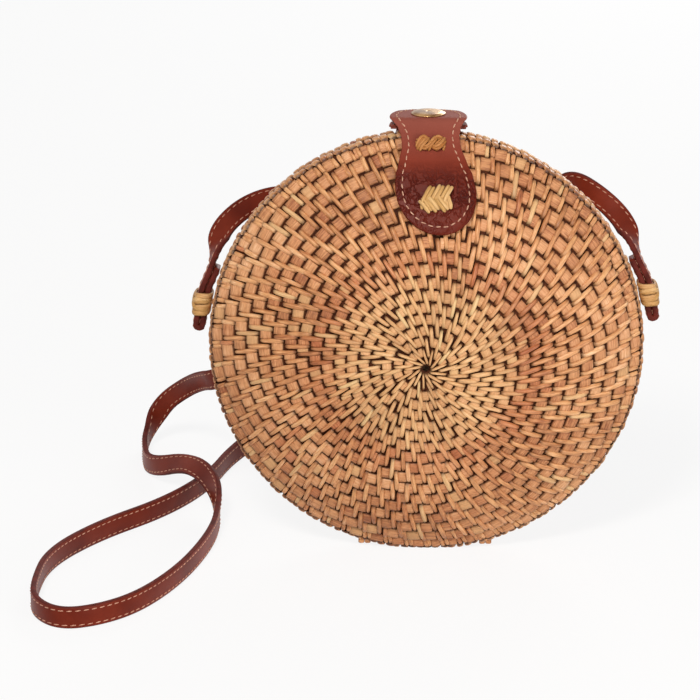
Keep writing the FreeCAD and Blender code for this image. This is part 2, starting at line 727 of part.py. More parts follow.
strapNames = ("strap_left", "strap_floor_loop", "strap_right")
bounds = [0.0] + [float(split) for split in strapSplits] + [len(corners) - 1.0]
section = size("strapWidth") * size("strapThickness")
for name, low, high in zip(strapNames, bounds, bounds[1:]):
    part = [station for station in stations if low - 0.001 <= station[3] <= high + 0.001]
    reached = part[-1][2] - part[0][2]
    stretch = doc.addObject("Part::Feature", name)
    stretch.Label = name
    stretch.Shape = strapSolid([strapSection(station) for station in part])
    nodes.append(stretch)
    print(name, "length", round(reached, 1), "volume", round(stretch.Shape.Volume, 1),
          "section x length", round(section * reached, 1))
print("free strap length", round(length, 1))
print("flap hinge at y, z", round(hingePoint[0], 3), round(hingePoint[1], 3))

doc.recompute()
for item in doc.Objects:
    if "Invalid" in item.State or "Error" in item.State:
        raise ValueError(item.Label + " is " + str(item.State))
os.makedirs("parts", exist_ok=True)
for node in nodes:
    shape = node.Shape
    if shape.isNull() or not shape.isValid() or len(shape.Solids) != 1:
        raise ValueError(node.Label + " has no single valid solid")
    shape.exportStep(os.path.join("parts", node.Label + ".step"))
print(len(nodes), "nodes written")
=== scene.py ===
import json
import math
import random
import bpy
from mathutils import Matrix, Vector

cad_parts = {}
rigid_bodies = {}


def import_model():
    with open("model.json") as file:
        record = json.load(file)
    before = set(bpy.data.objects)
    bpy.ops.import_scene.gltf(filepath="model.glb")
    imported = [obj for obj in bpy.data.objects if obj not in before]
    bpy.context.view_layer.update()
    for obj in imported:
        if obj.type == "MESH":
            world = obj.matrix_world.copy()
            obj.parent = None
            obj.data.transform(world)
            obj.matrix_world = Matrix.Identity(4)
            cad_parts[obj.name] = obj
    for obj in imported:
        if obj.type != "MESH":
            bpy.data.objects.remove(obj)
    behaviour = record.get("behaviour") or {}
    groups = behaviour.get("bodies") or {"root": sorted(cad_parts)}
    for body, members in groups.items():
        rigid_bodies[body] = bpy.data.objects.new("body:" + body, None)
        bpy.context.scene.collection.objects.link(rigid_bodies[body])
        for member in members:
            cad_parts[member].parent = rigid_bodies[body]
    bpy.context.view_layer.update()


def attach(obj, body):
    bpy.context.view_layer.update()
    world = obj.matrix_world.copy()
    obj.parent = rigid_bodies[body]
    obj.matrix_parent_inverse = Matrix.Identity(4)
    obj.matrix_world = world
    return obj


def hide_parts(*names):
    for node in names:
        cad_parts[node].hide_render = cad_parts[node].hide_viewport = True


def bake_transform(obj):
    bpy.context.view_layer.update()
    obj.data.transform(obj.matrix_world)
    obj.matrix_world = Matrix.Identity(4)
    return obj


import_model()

# Woven rattan shoulder bag on a pale studio floor. X across, front at -Y, Z up.
# Sizes are in millimetres. Points are in metres once mm() has made them.

scene = bpy.context.scene
fullTurn = 2 * math.pi


def mm(*values):
    return Vector([value / 1000 for value in values])


def linear(text):
    channels = [int(text[place:place + 2], 16) / 255 for place in (1, 3, 5)]
    return [c / 12.92 if c <= 0.04045 else ((c + 0.055) / 1.055) ** 2.4 for c in channels] + [1.0]


def setInputs(tree, node, inputs):
    for name, value in inputs.items():
        if isinstance(value, bpy.types.NodeSocket):
            tree.links.new(value, node.inputs[name])
        else:
            node.inputs[name].default_value = value


# Adds a node with its settings and links, in a material or in geometry, and gives its outputs
def addNode(tree, kind, inputs=None, stops=(), **settings):
    node = tree.nodes.new(kind)
    for name, value in settings.items():
        setattr(node, name, value)
    setInputs(tree, node, inputs or {})
    if stops:
        marks = node.color_ramp.elements
        while len(marks) < len(stops):
            marks.new(0.5)
        for mark, (place, colour) in zip(marks, stops):
            mark.position = place
            mark.color = linear(colour)
    return node.outputs


def newFinish(name):
    finish = bpy.data.materials.new(name)
    finish.use_nodes = True
    tree = finish.node_tree
    return finish, tree, tree.nodes["Principled BSDF"]


# Split plant fibre. The pattern reads the strand's own millimetres from its
# "grain" attribute, so fibres run along each strand, and its shade from "shade"
def rattanFinish(name, stops, warm, pale, roughness, groove):
    finish, tree, shader = newFinish(name)
    grain = addNode(tree, "ShaderNodeAttribute", attribute_name="grain")["Vector"]
    shade = addNode(tree, "ShaderNodeAttribute", attribute_name="shade")["Vector"]
    light, red, straw = addNode(tree, "ShaderNodeSeparateXYZ", {0: shade})
    # the shade also moves the pattern, so that no two strands are alike
    spot = addNode(tree, "ShaderNodeVectorMath", {0: shade, 1: (40, 90, 30), 2: grain},
                   operation="MULTIPLY_ADD")[0]
    # fibres about 4.5 mm long and 0.4 mm across, and cloudy patches of about 3 mm
    drawn = addNode(tree, "ShaderNodeVectorMath", {0: spot, 1: (0.22, 2.6, 0.5)}, operation="MULTIPLY")[0]
    fibre = addNode(tree, "ShaderNodeTexNoise", {"Vector": drawn, "Scale": 1.0, "Detail": 5.0,
                                                 "Roughness": 0.62})["Fac"]
    patch = addNode(tree, "ShaderNodeTexNoise", {"Vector": spot, "Scale": 0.35, "Detail": 2.0})["Fac"]
    mixed = addNode(tree, "ShaderNodeMath", {0: patch, 1: 0.26, 2: fibre}, operation="MULTIPLY_ADD")[0]
    level = addNode(tree, "ShaderNodeMath", {0: mixed, 1: 0.22}, operation="SUBTRACT")[0]
    level = addNode(tree, "ShaderNodeMath", {0: light, 1: 0.34, 2: level}, operation="MULTIPLY_ADD")[0]
    colour = addNode(tree, "ShaderNodeValToRGB", {"Fac": level}, stops)["Color"]
    redder = addNode(tree, "ShaderNodeMix", {0: 1.0, 6: colour, 7: linear(warm)}, data_type="RGBA",
                     blend_type="MULTIPLY")[2]
    colour = addNode(tree, "ShaderNodeMix", {0: red, 6: colour, 7: redder}, data_type="RGBA")[2]
    colour = addNode(tree, "ShaderNodeMix", {0: straw, 6: colour, 7: linear(pale)}, data_type="RGBA")[2]
    # painted shade: strands are drawn darker where they go down between their neighbours, where shade falls
    height = addNode(tree, "ShaderNodeSeparateXYZ", {0: grain})[2]
    clearOfShade = addNode(tree, "ShaderNodeMapRange", {"Value": height, "From Min": 0.1, "From Max": 0.96,
                                                  "To Min": 0.12, "To Max": 1.0})[0]
    colour = addNode(tree, "ShaderNodeMix", {0: clearOfShade, 6: linear("#3A1A0A"), 7: colour},
                     data_type="RGBA")[2]
    rough = addNode(tree, "ShaderNodeMath", {0: fibre, 1: 0.3, 2: roughness - 0.15}, operation="MULTIPLY_ADD")
    bump = addNode(tree, "ShaderNodeBump", {"Strength": 0.6, "Distance": groove / 1000, "Height": fibre})
    setInputs(tree, shader, {"Base Color": colour, "Roughness": rough[0], "Normal": bump[0],
                             "Specular IOR Level": 0.35})
    return finish


# Leather: fine pores over soft creases, a crease and a pore being that many
# millimetres apart. Above smoothFrom, a height, it lies smooth and a little paler, and a paler colour towards
# the top is painted sheen.
# Real pores are about half as far apart, too fine to show
def leatherFinish(name, stops, roughness, gloss, crease, creaseDepth, pore, smoothFrom=None):
    finish, tree, shader = newFinish(name)
    spot = addNode(tree, "ShaderNodeTexCoord")["Object"]
    # creases are the middle lines of a noise that another one bends
    bend = addNode(tree, "ShaderNodeTexNoise", {"Vector": spot, "Scale": 400 / crease, "Detail": 3.0})
    warped = addNode(tree, "ShaderNodeVectorMath", {0: bend["Color"], 1: mm(4, 4, 4), 2: spot},
                     operation="MULTIPLY_ADD")[0]
    pulled = addNode(tree, "ShaderNodeVectorMath", {0: warped, 1: (1.0, 1.0, 0.6)}, operation="MULTIPLY")
    wander = addNode(tree, "ShaderNodeTexNoise", {"Vector": pulled[0], "Scale": 1000 / crease,
                                                  "Detail": 2.0, "Distortion": 1.1})["Fac"]
    aside = addNode(tree, "ShaderNodeMath", {0: wander, 1: 0.5}, operation="SUBTRACT")[0]
    aside = addNode(tree, "ShaderNodeMath", {0: aside}, operation="ABSOLUTE")[0]
    fold = addNode(tree, "ShaderNodeMapRange", {"Value": aside, "From Max": 0.09})[0]
    smooth, pressed, paintedSheen = 0.0, 0.85, 0.0
    if smoothFrom:
        height = addNode(tree, "ShaderNodeSeparateXYZ", {0: spot})[2]
        smooth, pressed, paintedSheen = [addNode(tree, "ShaderNodeMapRange", {
            "Value": height, "From Min": (smoothFrom + low) / 1000, "From Max": (smoothFrom + high) / 1000,
            "To Min": first, "To Max": last})[0]
            for low, high, first, last in ((-6, 1, 0.0, 1.0), (-27, -14, 0.85, 0.0), (0, 14, 0.0, 0.4))]
        roughness = addNode(tree, "ShaderNodeMath", {0: smooth, 1: 0.3, 2: roughness},
                            operation="MULTIPLY_ADD")[0]
    fold = addNode(tree, "ShaderNodeMath", {0: fold, 1: pressed}, operation="ADD", use_clamp=True)[0]
    fold = addNode(tree, "ShaderNodeMath", {0: fold, 1: smooth}, operation="MAXIMUM")[0]
    pores = addNode(tree, "ShaderNodeTexNoise", {"Vector": spot, "Scale": 1000 / pore, "Detail": 3.0,
                                                 "Roughness": 0.7})["Fac"]
    cloud = addNode(tree, "ShaderNodeTexNoise", {"Vector": spot, "Scale": 1000 / 18.2, "Detail": 4.0})
    level = addNode(tree, "ShaderNodeMath", {0: cloud["Fac"], 1: 0.5}, operation="MULTIPLY")[0]
    # painted shade: fold is lowest on the crease lines, so the creases are drawn darker
    for part, share in ((fold, 0.2), (smooth, 0.34)):
        level = addNode(tree, "ShaderNodeMath", {0: part, 1: share, 2: level}, operation="MULTIPLY_ADD")[0]
    colour = addNode(tree, "ShaderNodeValToRGB", {"Fac": level}, stops)["Color"]
    # painted sheen: towards the top the colour turns to a pale pink, standing in for the light's broad sheen
    colour = addNode(tree, "ShaderNodeMix", {0: paintedSheen, 6: colour, 7: linear("#A2665A")}, data_type="RGBA")
    relief = addNode(tree, "ShaderNodeMath", {0: pores, 1: 0.3, 2: fold}, operation="MULTIPLY_ADD")[0]
    bump = addNode(tree, "ShaderNodeBump", {"Strength": 0.7, "Distance": creaseDepth / 1000,
                                            "Height": relief})
    setInputs(tree, shader, {"Base Color": colour[2], "Roughness": roughness,
                             "Normal": bump[0], "Specular IOR Level": gloss})
    return finish


# Two near shades in soft clouds of one size, with a fine bump
def plainFinish(name, dark, light, roughness, cloudSize, depth, metallic=0.0):
    finish, tree, shader = newFinish(name)
    spot = addNode(tree, "ShaderNodeTexCoord")["Object"]
    cloud = addNode(tree, "ShaderNodeTexNoise", {"Vector": spot, "Scale": 1000 / cloudSize,
                                                 "Detail": 4.0})["Fac"]
    colour = addNode(tree, "ShaderNodeValToRGB", {"Fac": cloud}, [(0.35, dark), (0.65, light)])
    bump = addNode(tree, "ShaderNodeBump", {"Strength": 0.5, "Distance": depth / 1000, "Height": cloud})
    setInputs(tree, shader, {"Base Color": colour[0], "Normal": bump[0], "Roughness": roughness,
                             "Specular IOR Level": 0.25, "Metallic": metallic})
    return finish


# Cotton: two crossed waves make the weave, one wave to a thread. The threads are
# drawn about twice as coarse as real ones, so that they show
def clothFinish(name, dark, light, threadSpacing):
    finish, tree, shader = newFinish(name)
    spot = addNode(tree, "ShaderNodeTexCoord")["Object"]
    # a wave repeats every pi / 10 at a scale of 1
    scale = 1000 / threadSpacing * math.pi / 10
    across, upward = [addNode(tree, "ShaderNodeTexWave", {"Vector": spot, "Scale": scale, "Distortion": 0.4},
                              bands_direction=direction)["Fac"] for direction in ("X", "Z")]
    weave = addNode(tree, "ShaderNodeMath", {0: across, 1: upward}, operation="MAXIMUM")[0]
    cloud = addNode(tree, "ShaderNodeTexNoise", {"Vector": spot, "Scale": 1000 / 33.3, "Detail": 3.0})
    level = addNode(tree, "ShaderNodeMath", {0: cloud["Fac"], 1: 0.5}, operation="MULTIPLY")[0]
    level = addNode(tree, "ShaderNodeMath", {0: weave, 1: 0.5, 2: level}, operation="MULTIPLY_ADD")[0]
    colour = addNode(tree, "ShaderNodeValToRGB", {"Fac": level}, [(0.2, dark), (0.85, light)])
    bump = addNode(tree, "ShaderNodeBump", {"Strength": 0.4, "Distance": 0.0002, "Height": weave})
    setInputs(tree, shader, {"Base Color": colour[0], "Normal": bump[0], "Roughness": 0.9})
    return finish


finishes = {
    # core is cut flat from inside the cane: pinkish tan, matt, its pores open in long dark lines
    "core": rattanFinish("split rattan core", [(0.2, "#5C2A12"), (0.42, "#A2653F"), (0.62, "#CE9262"),
                                                (0.95, "#F0C298")], "#C47D58", "#D6AE7A", 0.55, 0.25),
    # peel is the cane's own skin: yellower, smoother and a little glossy
    "stitch": rattanFinish("rattan peel", [(0.2, "#6C3818"), (0.42, "#AF7145"), (0.65, "#DAA16C"),
                                           (0.95, "#F6CEA4")], "#C4744C", "#DBBC88", 0.42, 0.1),
    # straw twisted by hand: golden and dull, with fine dark lines between its fibres
    "straw": rattanFinish("twisted straw strand", [(0.2, "#7E5A2A"), (0.45, "#BC9152"), (0.7, "#D8B179"),
                                                   (0.95, "#EBD0A0")], "#D09A62", "#E6CF9E", 0.6, 0.15),
    # cane left rough, its dark brown colour painted shade: the dull brown gaps between the strands
    "bed": plainFinish("shade-dark rattan bed", "#341404", "#54280E", 0.8, 1.11, 0.2),
    # hide glazed under a roller, creased on the bulb: dark red-brown with soft broken gleams, and a painted
    # sheen that pales its top
    "tab": leatherFinish("creased glossy leather", [(0.15, "#3A0C06"), (0.42, "#5A1C10"), (0.78, "#7C3222"),
                                                    (0.95, "#883C2B")], 0.27, 0.07, 2.94, 0.35, 0.385, 160),
    # hide dyed through and pressed flat: even red-brown, half matt, its grain hardly seen
    "strap": leatherFinish("dyed strap leather", [(0.25, "#4E1206"), (0.5, "#772B19"), (0.8, "#984530")],
                           0.4, 0.11, 2.38, 0.06, 0.3125),
    # cut edges sealed with paint: a darker, dull line along both sides of the strap
    "edge": plainFinish("painted leather edge", "#48140B", "#64231A", 0.8, 3.33, 0.03),
    # spun thread: matt and pale, so that each stitch stands out from the leather
    "strapThread": plainFinish("dyed strap thread", "#AC7460", "#D8A68C", 0.65, 0.667, 0.05),
    "thread": plainFinish("waxed linen thread", "#AE8068", "#D8AE94", 0.6, 0.667, 0.05),
    # brass pressed from sheet and gone dull: warm, blurred reflections
    "brass": plainFinish("aged brass", "#7A5634", "#C09766", 0.26, 6.25, 0.01, 1.0),
    # whole cane bent with steam: plain honey brown, faintly lined
    "hoop": plainFinish("bent cane hoop", "#8A5A34", "#B98656", 0.5, 2.38, 0.1),
    # plain-woven cotton: matt brown, its crossed threads just seen
    "cloth": clothFinish("brown cotton lining", "#4C3726", "#6C523C", 0.714),
}
print("stage: finishes made")


# Plain mesh object from points and faces
def meshObject(name, points, faces, finish):
    mesh = bpy.data.meshes.new(name)
    mesh.from_pydata(points, [], faces)
    mesh.validate()
    mesh.materials.append(finish)
    mesh.shade_smooth()
    thing = bpy.data.objects.new(name, mesh)
    scene.collection.objects.link(thing)
    return thing


def setVectors(mesh, name, values):
    flat = [number for value in values for number in value]
    mesh.attributes.new(name, "FLOAT_VECTOR", "POINT").data.foreach_set("vector", flat)


# Rings of points joined into a skin. Closed rings have their ends closed too,
# unless the last ring meets the first in a loop
def skin(name, rings, finish, wrap=True, loop=False):
    count = len(rings[0])
    points = [point for ring in rings for point in ring]
    faces = []
    for step in range(len(rings) if loop else len(rings) - 1):
        near, far = step * count, (step + 1) % len(rings) * count
        for place in range(count if wrap else count - 1):
            after = (place + 1) % count
            faces.append((near + place, near + after, far + after, far + place))
    if wrap and not loop:
        faces.append(tuple(reversed(range(count))))
        faces.append(tuple(range((len(rings) - 1) * count, len(rings) * count)))
    return meshObject(name, points, faces, finish)


# Joins meshes into the first object
def joined(things, name):
    with bpy.context.temp_override(active_object=things[0], selected_editable_objects=things):
        bpy.ops.object.join()
    things[0].name = name
    things[0].data.name = name
    return things[0]


# The mesh that an object's modifiers make
def evaluatedMesh(thing):
    bpy.context.view_layer.update()
    depsgraph = bpy.context.evaluated_depsgraph_get()
    return bpy.data.meshes.new_from_object(thing.evaluated_get(depsgraph), depsgraph=depsgraph)


def settle(piece, nodes, body):
    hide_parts(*nodes)
    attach(piece, body)


# Geometry Nodes: sets a strand shape on each point, turned and stretched by
# the point's own attributes; its shade goes along to the strand
def strandTree():
    tree = bpy.data.node_groups.new("strandsOnPoints", "GeometryNodeTree")
    for name, kind in (("Geometry", "Geometry"), ("Strand Shapes", "Collection"),
                       ("Strand Finish", "Material"), ("Last Shape", "Int"), ("Seed", "Int")):
        tree.interface.new_socket(name, in_out="INPUT", socket_type="NodeSocket" + kind)
    tree.interface.new_socket("Geometry", in_out="OUTPUT", socket_type="NodeSocketGeometry")
    given = addNode(tree, "NodeGroupInput")
    shapes = addNode(tree, "GeometryNodeCollectionInfo", {
        "Collection": given["Strand Shapes"], "Separate Children": True, "Reset Children": True})
    turn, stretch = [addNode(tree, "GeometryNodeInputNamedAttribute", {"Name": name},
                             data_type="FLOAT_VECTOR")[0] for name in ("turn", "stretch")]
    rotation = addNode(tree, "FunctionNodeEulerToRotation", {0: turn})
    choice = addNode(tree, "FunctionNodeRandomValue", {5: given["Last Shape"], "Seed": given["Seed"]},
                     data_type="INT")
    laid = addNode(tree, "GeometryNodeInstanceOnPoints", {
        "Points": given["Geometry"], "Instance": shapes[0], "Pick Instance": True,
        "Instance Index": choice[2], "Rotation": rotation[0], "Scale": stretch})
    solid = addNode(tree, "GeometryNodeRealizeInstances", {"Geometry": laid[0]})
    painted = addNode(tree, "GeometryNodeSetMaterial", {
        "Geometry": solid[0], "Material": given["Strand Finish"]})
    addNode(tree, "NodeGroupOutput", {0: painted[0]})
    return tree


strandsOnPoints = strandTree()
sockets = {item.name: item.identifier for item in strandsOnPoints.interface.items_tree
           if item.in_out == "INPUT"}


# Places the strands, makes one plain mesh of them and drops the modifier
def layStrands(name, cells, shapes, finish, seed):
    mesh = bpy.data.meshes.new(name + "Points")
    mesh.from_pydata([cell["place"] for cell in cells], [], [])
    for attribute in ("turn", "stretch", "shade"):
        setVectors(mesh, attribute, [cell[attribute] for cell in cells])
    points = bpy.data.objects.new(name + "Points", mesh)
    scene.collection.objects.link(points)
    modifier = points.modifiers.new("strands", "NODES")
    modifier.node_group = strandsOnPoints
    for socket, value in (("Strand Shapes", shapes), ("Strand Finish", finish),
                          ("Last Shape", len(shapes.objects) - 1), ("Seed", seed)):
        modifier[sockets[socket]] = value
    laid = evaluatedMesh(points)
    bpy.data.objects.remove(points)
    bpy.data.meshes.remove(mesh)
    laid.name = name
    laid.shade_smooth()
    thing = bpy.data.objects.new(name, laid)
    scene.collection.objects.link(thing)
    return thing


# The coil's core between two stitches, one unit long, wide and high, its edges turned down
def blockShape(chance):
    rings, grain = [], []
    for y in (-0.5, -0.46, -0.3, 0.0, 0.3, 0.46, 0.5):
        ring = []
        crown = 1 - 0.22 * abs(2 * y) ** 2.2
        for x in (-0.5, -0.44, -0.22, 0.22, 0.44, 0.5):
            edge = abs(x) > 0.49 or abs(y) > 0.49
            height = -0.4 if edge else crown * (1 - 0.1 * abs(2 * x) ** 2) + chance.uniform(-0.03, 0.03)
            sway = 0 if edge else chance.uniform(-0.015, 0.015)
            ring.append((x + sway, y, height))
            grain.append((x * 4.3, y * 5.0, height))
        rings.append(ring)
    return rings, grain


# Strips of the same unit size, both ends tucked in. A row is (place along,
# width, height), a section (place across, drop); long and wide are the grain's
strips = {
    "stitch": {
        "rows": ((-0.5, 0.5, -0.7), (-0.46, 0.74, 0.25), (-0.36, 0.92, 0.82), (-0.15, 1.0, 1.0),
                 (0.1, 1.0, 1.0), (0.3, 0.95, 0.92), (0.42, 0.82, 0.55), (0.48, 0.6, -0.1), (0.5, 0.4, -0.7)),
        "section": ((-0.5, 0.9), (-0.4, 0.28), (-0.12, 0.02), (0.18, 0.0), (0.42, 0.22), (0.5, 0.9)),
        "bow": 0.12, "long": 10.0, "wide": 1.5,
    },
    "thread": {
        "rows": ((-0.5, 0.3, -0.6), (-0.4, 0.8, 0.5), (0.0, 1.0, 1.0), (0.4, 0.8, 0.5), (0.5, 0.3, -0.6)),
        "section": ((-0.5, 0.9), (-0.3, 0.25), (0.0, 0.0), (0.3, 0.25), (0.5, 0.9)),
        "bow": 0.0, "long": 2.2, "wide": 1.0,
    },
}


def stripShape(kind, chance):
    strip = strips[kind]
    bow = chance.uniform(-strip["bow"], strip["bow"])
    rings, grain = [], []
    for y, wide, high in strip["rows"]:
        shift = bow * (1 - (2 * y) ** 2)
        rings.append([(x * wide + shift, y, high - drop) for x, drop in strip["section"]])
        grain += [(y * strip["long"], x * strip["wide"], high) for x, drop in strip["section"]]
    return rings, grain


# Each kind of strand comes in a few shapes, from which the strands draw
shapeSets = {}
for kind, count in (("block", 5), ("stitch", 5), ("thread", 1)):
    shapeSets[kind] = bpy.data.collections.new(kind + "Shapes")
    scene.collection.children.link(shapeSets[kind])
    for index in range(count):
        chance = random.Random(40 + index)
        rings, grain = blockShape(chance) if kind == "block" else stripShape(kind, chance)
        thing = skin(kind + str(index), rings, finishes["core"], wrap=False)
        setVectors(thing.data, "grain", grain)
        scene.collection.objects.unlink(thing)
        shapeSets[kind].objects.link(thing)
print("stage: strand shapes made")

# Rattan domes: a spherical cap per half, sixteen rows, then the rim hoop
bag = {
    "discHeight": 84.4,
    "valleyRadius": 121.24,
    "crestRadius": 122.04,
    "sphereCentre": -83.84,
    "holeRadius": 1.5,
    "eyeRadius": 4.5,
    "domeEdge": 79.4,
    "rows": 16,
    "rowGrowth": 0.56,
    "shellThickness": 3.2,
}

# The strands of the weave. Slope is how far a stitch leans round the hub for
# each millimetre outward; easings even out a row's gaps a little each time
weave = {
    "slope": 0.24,
    "hubWidth": 1.3,
    "width": 1.9,
    "fullWidthAt": 45,
    "firstRowsShare": (0.7, 0.86),
    "domeHeight": 1.3,
    "rimHeight": 0.95,
    "overHoop": 1.6,
    "easings": 4,
    "easing": 0.22,
    "whippings": 170,
    "blockOverlap": 0.7,
    "blockHeight": 1.3,
    "blockTilt": 4.5,
}

# stitches per turn, counted in the picture at these radii
stitchCounts = [(4.5, 13), (8.7, 19), (12.8, 25), (17, 31), (24, 38), (31, 44), (49, 53), (69, 62), (82, 70)]

# Path of the woven surface from hub to seam: a spherical cap, then the hoop
domeSteps = 240
domeReach = math.asin(bag["domeEdge"] / bag["valleyRadius"])
profile = [(bag["valleyRadius"] * math.sin(domeReach * step / domeSteps),
            bag["sphereCentre"] + bag["valleyRadius"] * math.cos(domeReach * step / domeSteps))
           for step in range(domeSteps + 1)]
profile += [(80.8, 6.15), (82.6, 4.85), (83.7, 3.9), (84.2, 2.9), (84.25, 1.6), (84.25, 0.16)]
profileLengths = [0.0]
for near, far in zip(profile, profile[1:]):
    profileLengths.append(profileLengths[-1] + math.dist(near, far))
domeArc = profileLengths[domeSteps]
rimArc = profileLengths[-1]

# Row edges as lengths along the path: hub, sixteen dome rows, two rim rows
eyeArc = bag["valleyRadius"] * math.asin(bag["eyeRadius"] / bag["valleyRadius"])
growth = [1 + bag["rowGrowth"] * row / (bag["rows"] - 1) for row in range(bag["rows"])]
rowEdges = [bag["holeRadius"], eyeArc]
for share in growth:
    rowEdges.append(rowEdges[-1] + (domeArc - eyeArc) * share / sum(growth))
rowEdges += [domeArc + (rimArc - domeArc) * 0.56, rimArc]
rimRow = bag["rows"] + 1


# Place, facing and radius on the woven surface, lifted off it along its normal
def surfaceFrame(side, along, turn, lift):
    # both halves are woven the same way round, seen from outside
    turn *= -side
    along = min(max(along, 0.0), rimArc - 0.001)
    index = next(i for i, reached in enumerate(profileLengths[1:]) if reached > along)
    near, far = profile[index], profile[index + 1]
    run = math.dist(near, far)
    share = (along - profileLengths[index]) / run
    out, fall = (far[0] - near[0]) / run, (far[1] - near[1]) / run
    radius = near[0] + (far[0] - near[0]) * share - fall * lift
    depth = near[1] + (far[1] - near[1]) * share + out * lift
    outward = Vector((out * math.cos(turn), side * fall, out * math.sin(turn)))
    normal = Vector((-fall * math.cos(turn), side * out, -fall * math.sin(turn)))
    place = mm(radius * math.cos(turn), side * depth, bag["discHeight"] + radius * math.sin(turn))
    return place, Matrix((outward.cross(normal), outward, normal)).transposed(), radius


def radiusAt(along):
    return surfaceFrame(1, along, 0, 0)[2]


def stitchesAt(radius):
    for (low, few), (high, many) in zip(stitchCounts, stitchCounts[1:]):
        if radius <= high:
            return round(few + (many - few) * (radius - low) / (high - low))
    return stitchCounts[-1][1]


# peel is split finer for the hub than for the outer rows
def peelWidth(radius):
    return min(weave["hubWidth"] + 0.6 * radius / weave["fullWidthAt"], weave["width"])


# Where the stitches of each row start, as turns round the hub. They sit beside
# those of the row before, and new ones go in where the gaps have grown widest
def stitchStarts(chance):
    first = stitchCounts[0][1]
    starts = [[fullTurn * index / first + chance.uniform(-0.03, 0.03) for index in range(first)]]
    # the edge's own row is drawn as well, though whipping covers it
    for row in range(1, len(rowEdges) - 1):
        radius = radiusAt(rowEdges[row])
        step = (rowEdges[row] - rowEdges[row - 1]) * weave["slope"]
        shift = (step + peelWidth(radius)) / radius
        turns = sorted((turn + shift) % fullTurn for turn in starts[-1])
        while len(turns) < stitchesAt(radius):
            gaps = [((turns[(i + 1) % len(turns)] - turn) % fullTurn, i) for i, turn in enumerate(turns)]
            gap, place = max(gaps)
            turns.append((turns[place] + gap / 2) % fullTurn)
            turns.sort()
        for easing in range(weave["easings"]):
            eased = []
            for i, turn in enumerate(turns):
                ahead = (turns[(i + 1) % len(turns)] - turn) % fullTurn
                behind = (turn - turns[i - 1]) % fullTurn
                eased.append((turn + weave["easing"] * (ahead - behind)) % fullTurn)
            turns = sorted(eased)
        starts.append([turn + chance.uniform(-0.25, 0.25) / radius for turn in turns])
    return starts


# Light, red and pale shares of one strand
def shadeFor(radius, turn, chance):
    # a warm ring about half-way out, paler straw inside it
    ring = math.exp(-((radius - 40.5 - 1.5 * math.sin(turn * 2 + 1)) / 5) ** 2) * 0.42
    inside = 1 / (1 + math.exp((radius - 34) / 2)) * 0.36
    warm = ring + max(0, chance.gauss(0.06, 0.11))
    if chance.random() < 0.015:
        warm += 0.5
    region = 0.5 + 0.16 * math.sin(radius / 9 + turn * 2) + 0.12 * math.sin(turn * 5 - radius / 14)
    straw = 0.45 if chance.random() < 0.05 else 0.0
    return (region + chance.uniform(-0.28, 0.28), min(warm, 1.0), inside + straw + chance.uniform(0, 0.12))


def cell(side, along, turn, lift, spin, tilt, stretch, shade):
    place, facing = surfaceFrame(side, along, turn, lift)[:2]
    facing = facing @ Matrix.Rotation(spin, 3, "Z") @ Matrix.Rotation(tilt, 3, "X")
    return {"place": place, "turn": tuple(facing.to_euler()), "stretch": tuple(mm(*stretch)), "shade": shade}


# Stitches that start in this row and cross into the next
def rowStitches(side, row, starts, chance):
    low, high = rowEdges[row:row + 2]
    end = rowEdges[row + 2] if row < rimRow - 1 else high + weave["overHoop"] if row < rimRow else high
    middle = (low + end) / 2
    radius = radiusAt(middle)
    narrow = (weave["firstRowsShare"] + (1,))[min(row, 2)]
    cells = []
    for turn in starts:
        swing = turn + (middle - low) * weave["slope"] / radius
        wide = peelWidth(radius) * chance.uniform(0.86, 1.12) * narrow
        proud = weave["domeHeight" if row < rimRow - 1 else "rimHeight"] * chance.uniform(0.9, 1.1)
        shade = shadeFor(radius, swing, chance)
        spin = math.atan(weave["slope"]) + math.radians(chance.gauss(0, 2.2))
        cells.append(cell(side, middle, swing, 0.05, spin, 0.0,
                          (wide, (end - low) * chance.uniform(0.98, 1.05), proud), shade))
    return cells


# Core blocks fill what the stitches leave open
def rowBlocks(side, row, starts, chance):
    low, high = rowEdges[row:row + 2]
    radius = radiusAt((low + high) / 2)
    half = 0.5 * peelWidth(radius) / radius
    taken = [turn + share * (high - low) * weave["slope"] / radius
             for share, turns in ((0.5, starts[row]), (1.5, starts[row - 1])) for turn in turns]
    taken = sorted(turn % fullTurn for turn in taken)
    cells = []
    for turn, after in zip(taken, taken[1:] + taken[:1]):
        gap = (after - turn) % fullTurn - 2 * half
        length = gap * radius
        if length < weave["blockOverlap"]:
            continue
        swing = turn + half + gap / 2
        shade = shadeFor(radius, swing, chance)
        size = (length + weave["blockOverlap"], (high - low) * 0.87,
                weave["blockHeight"] * chance.uniform(0.88, 1.08))
        spin = math.atan(weave["slope"]) * 0.5 + math.radians(chance.gauss(0, 2.5))
        cells.append(cell(side, (low + high) / 2 + 0.28, swing, -0.42, spin,
                          math.radians(weave["blockTilt"]), size, shade))
    return cells


# Stitches that cross from the dome bend at the rim, so a second strand carries them on
def carriedStitches(side, starts, chance):
    before, low, high = rowEdges[rimRow - 1:rimRow + 2]
    reach = high - low
    radius = radiusAt((low + high) / 2)
    cells = []
    for turn in starts:
        swing = turn + (low - before + 0.5 * reach) * weave["slope"] / radius
        size = (peelWidth(radius) * 0.95, reach - 0.3, chance.uniform(0.8, 1.0))
        cells.append(cell(side, low + 0.55 + reach / 2, swing, 0.05, math.atan(weave["slope"]), 0.0, size,
                          shadeFor(radius, swing, chance)))
    return cells


# The last row is whipped over the hoop, strand beside strand
def whippedEdge(side, chance):
    low, high = rowEdges[-2:]
    radius = radiusAt((low + high) / 2)
    cells = []
    for index in range(weave["whippings"]):
        turn = fullTurn * (index + chance.uniform(-0.16, 0.16)) / weave["whippings"]
        wide = chance.uniform(2.5, 3.5)
        spin = math.radians(chance.gauss(15, 5))
        size = (wide, high - low + 0.3, chance.uniform(0.5, 1.1))
        cells.append(cell(side, (low + high) / 2 - 0.25, turn, 0.02, spin, 0.0, size,
                          shadeFor(radius, turn, chance)))
    return cells


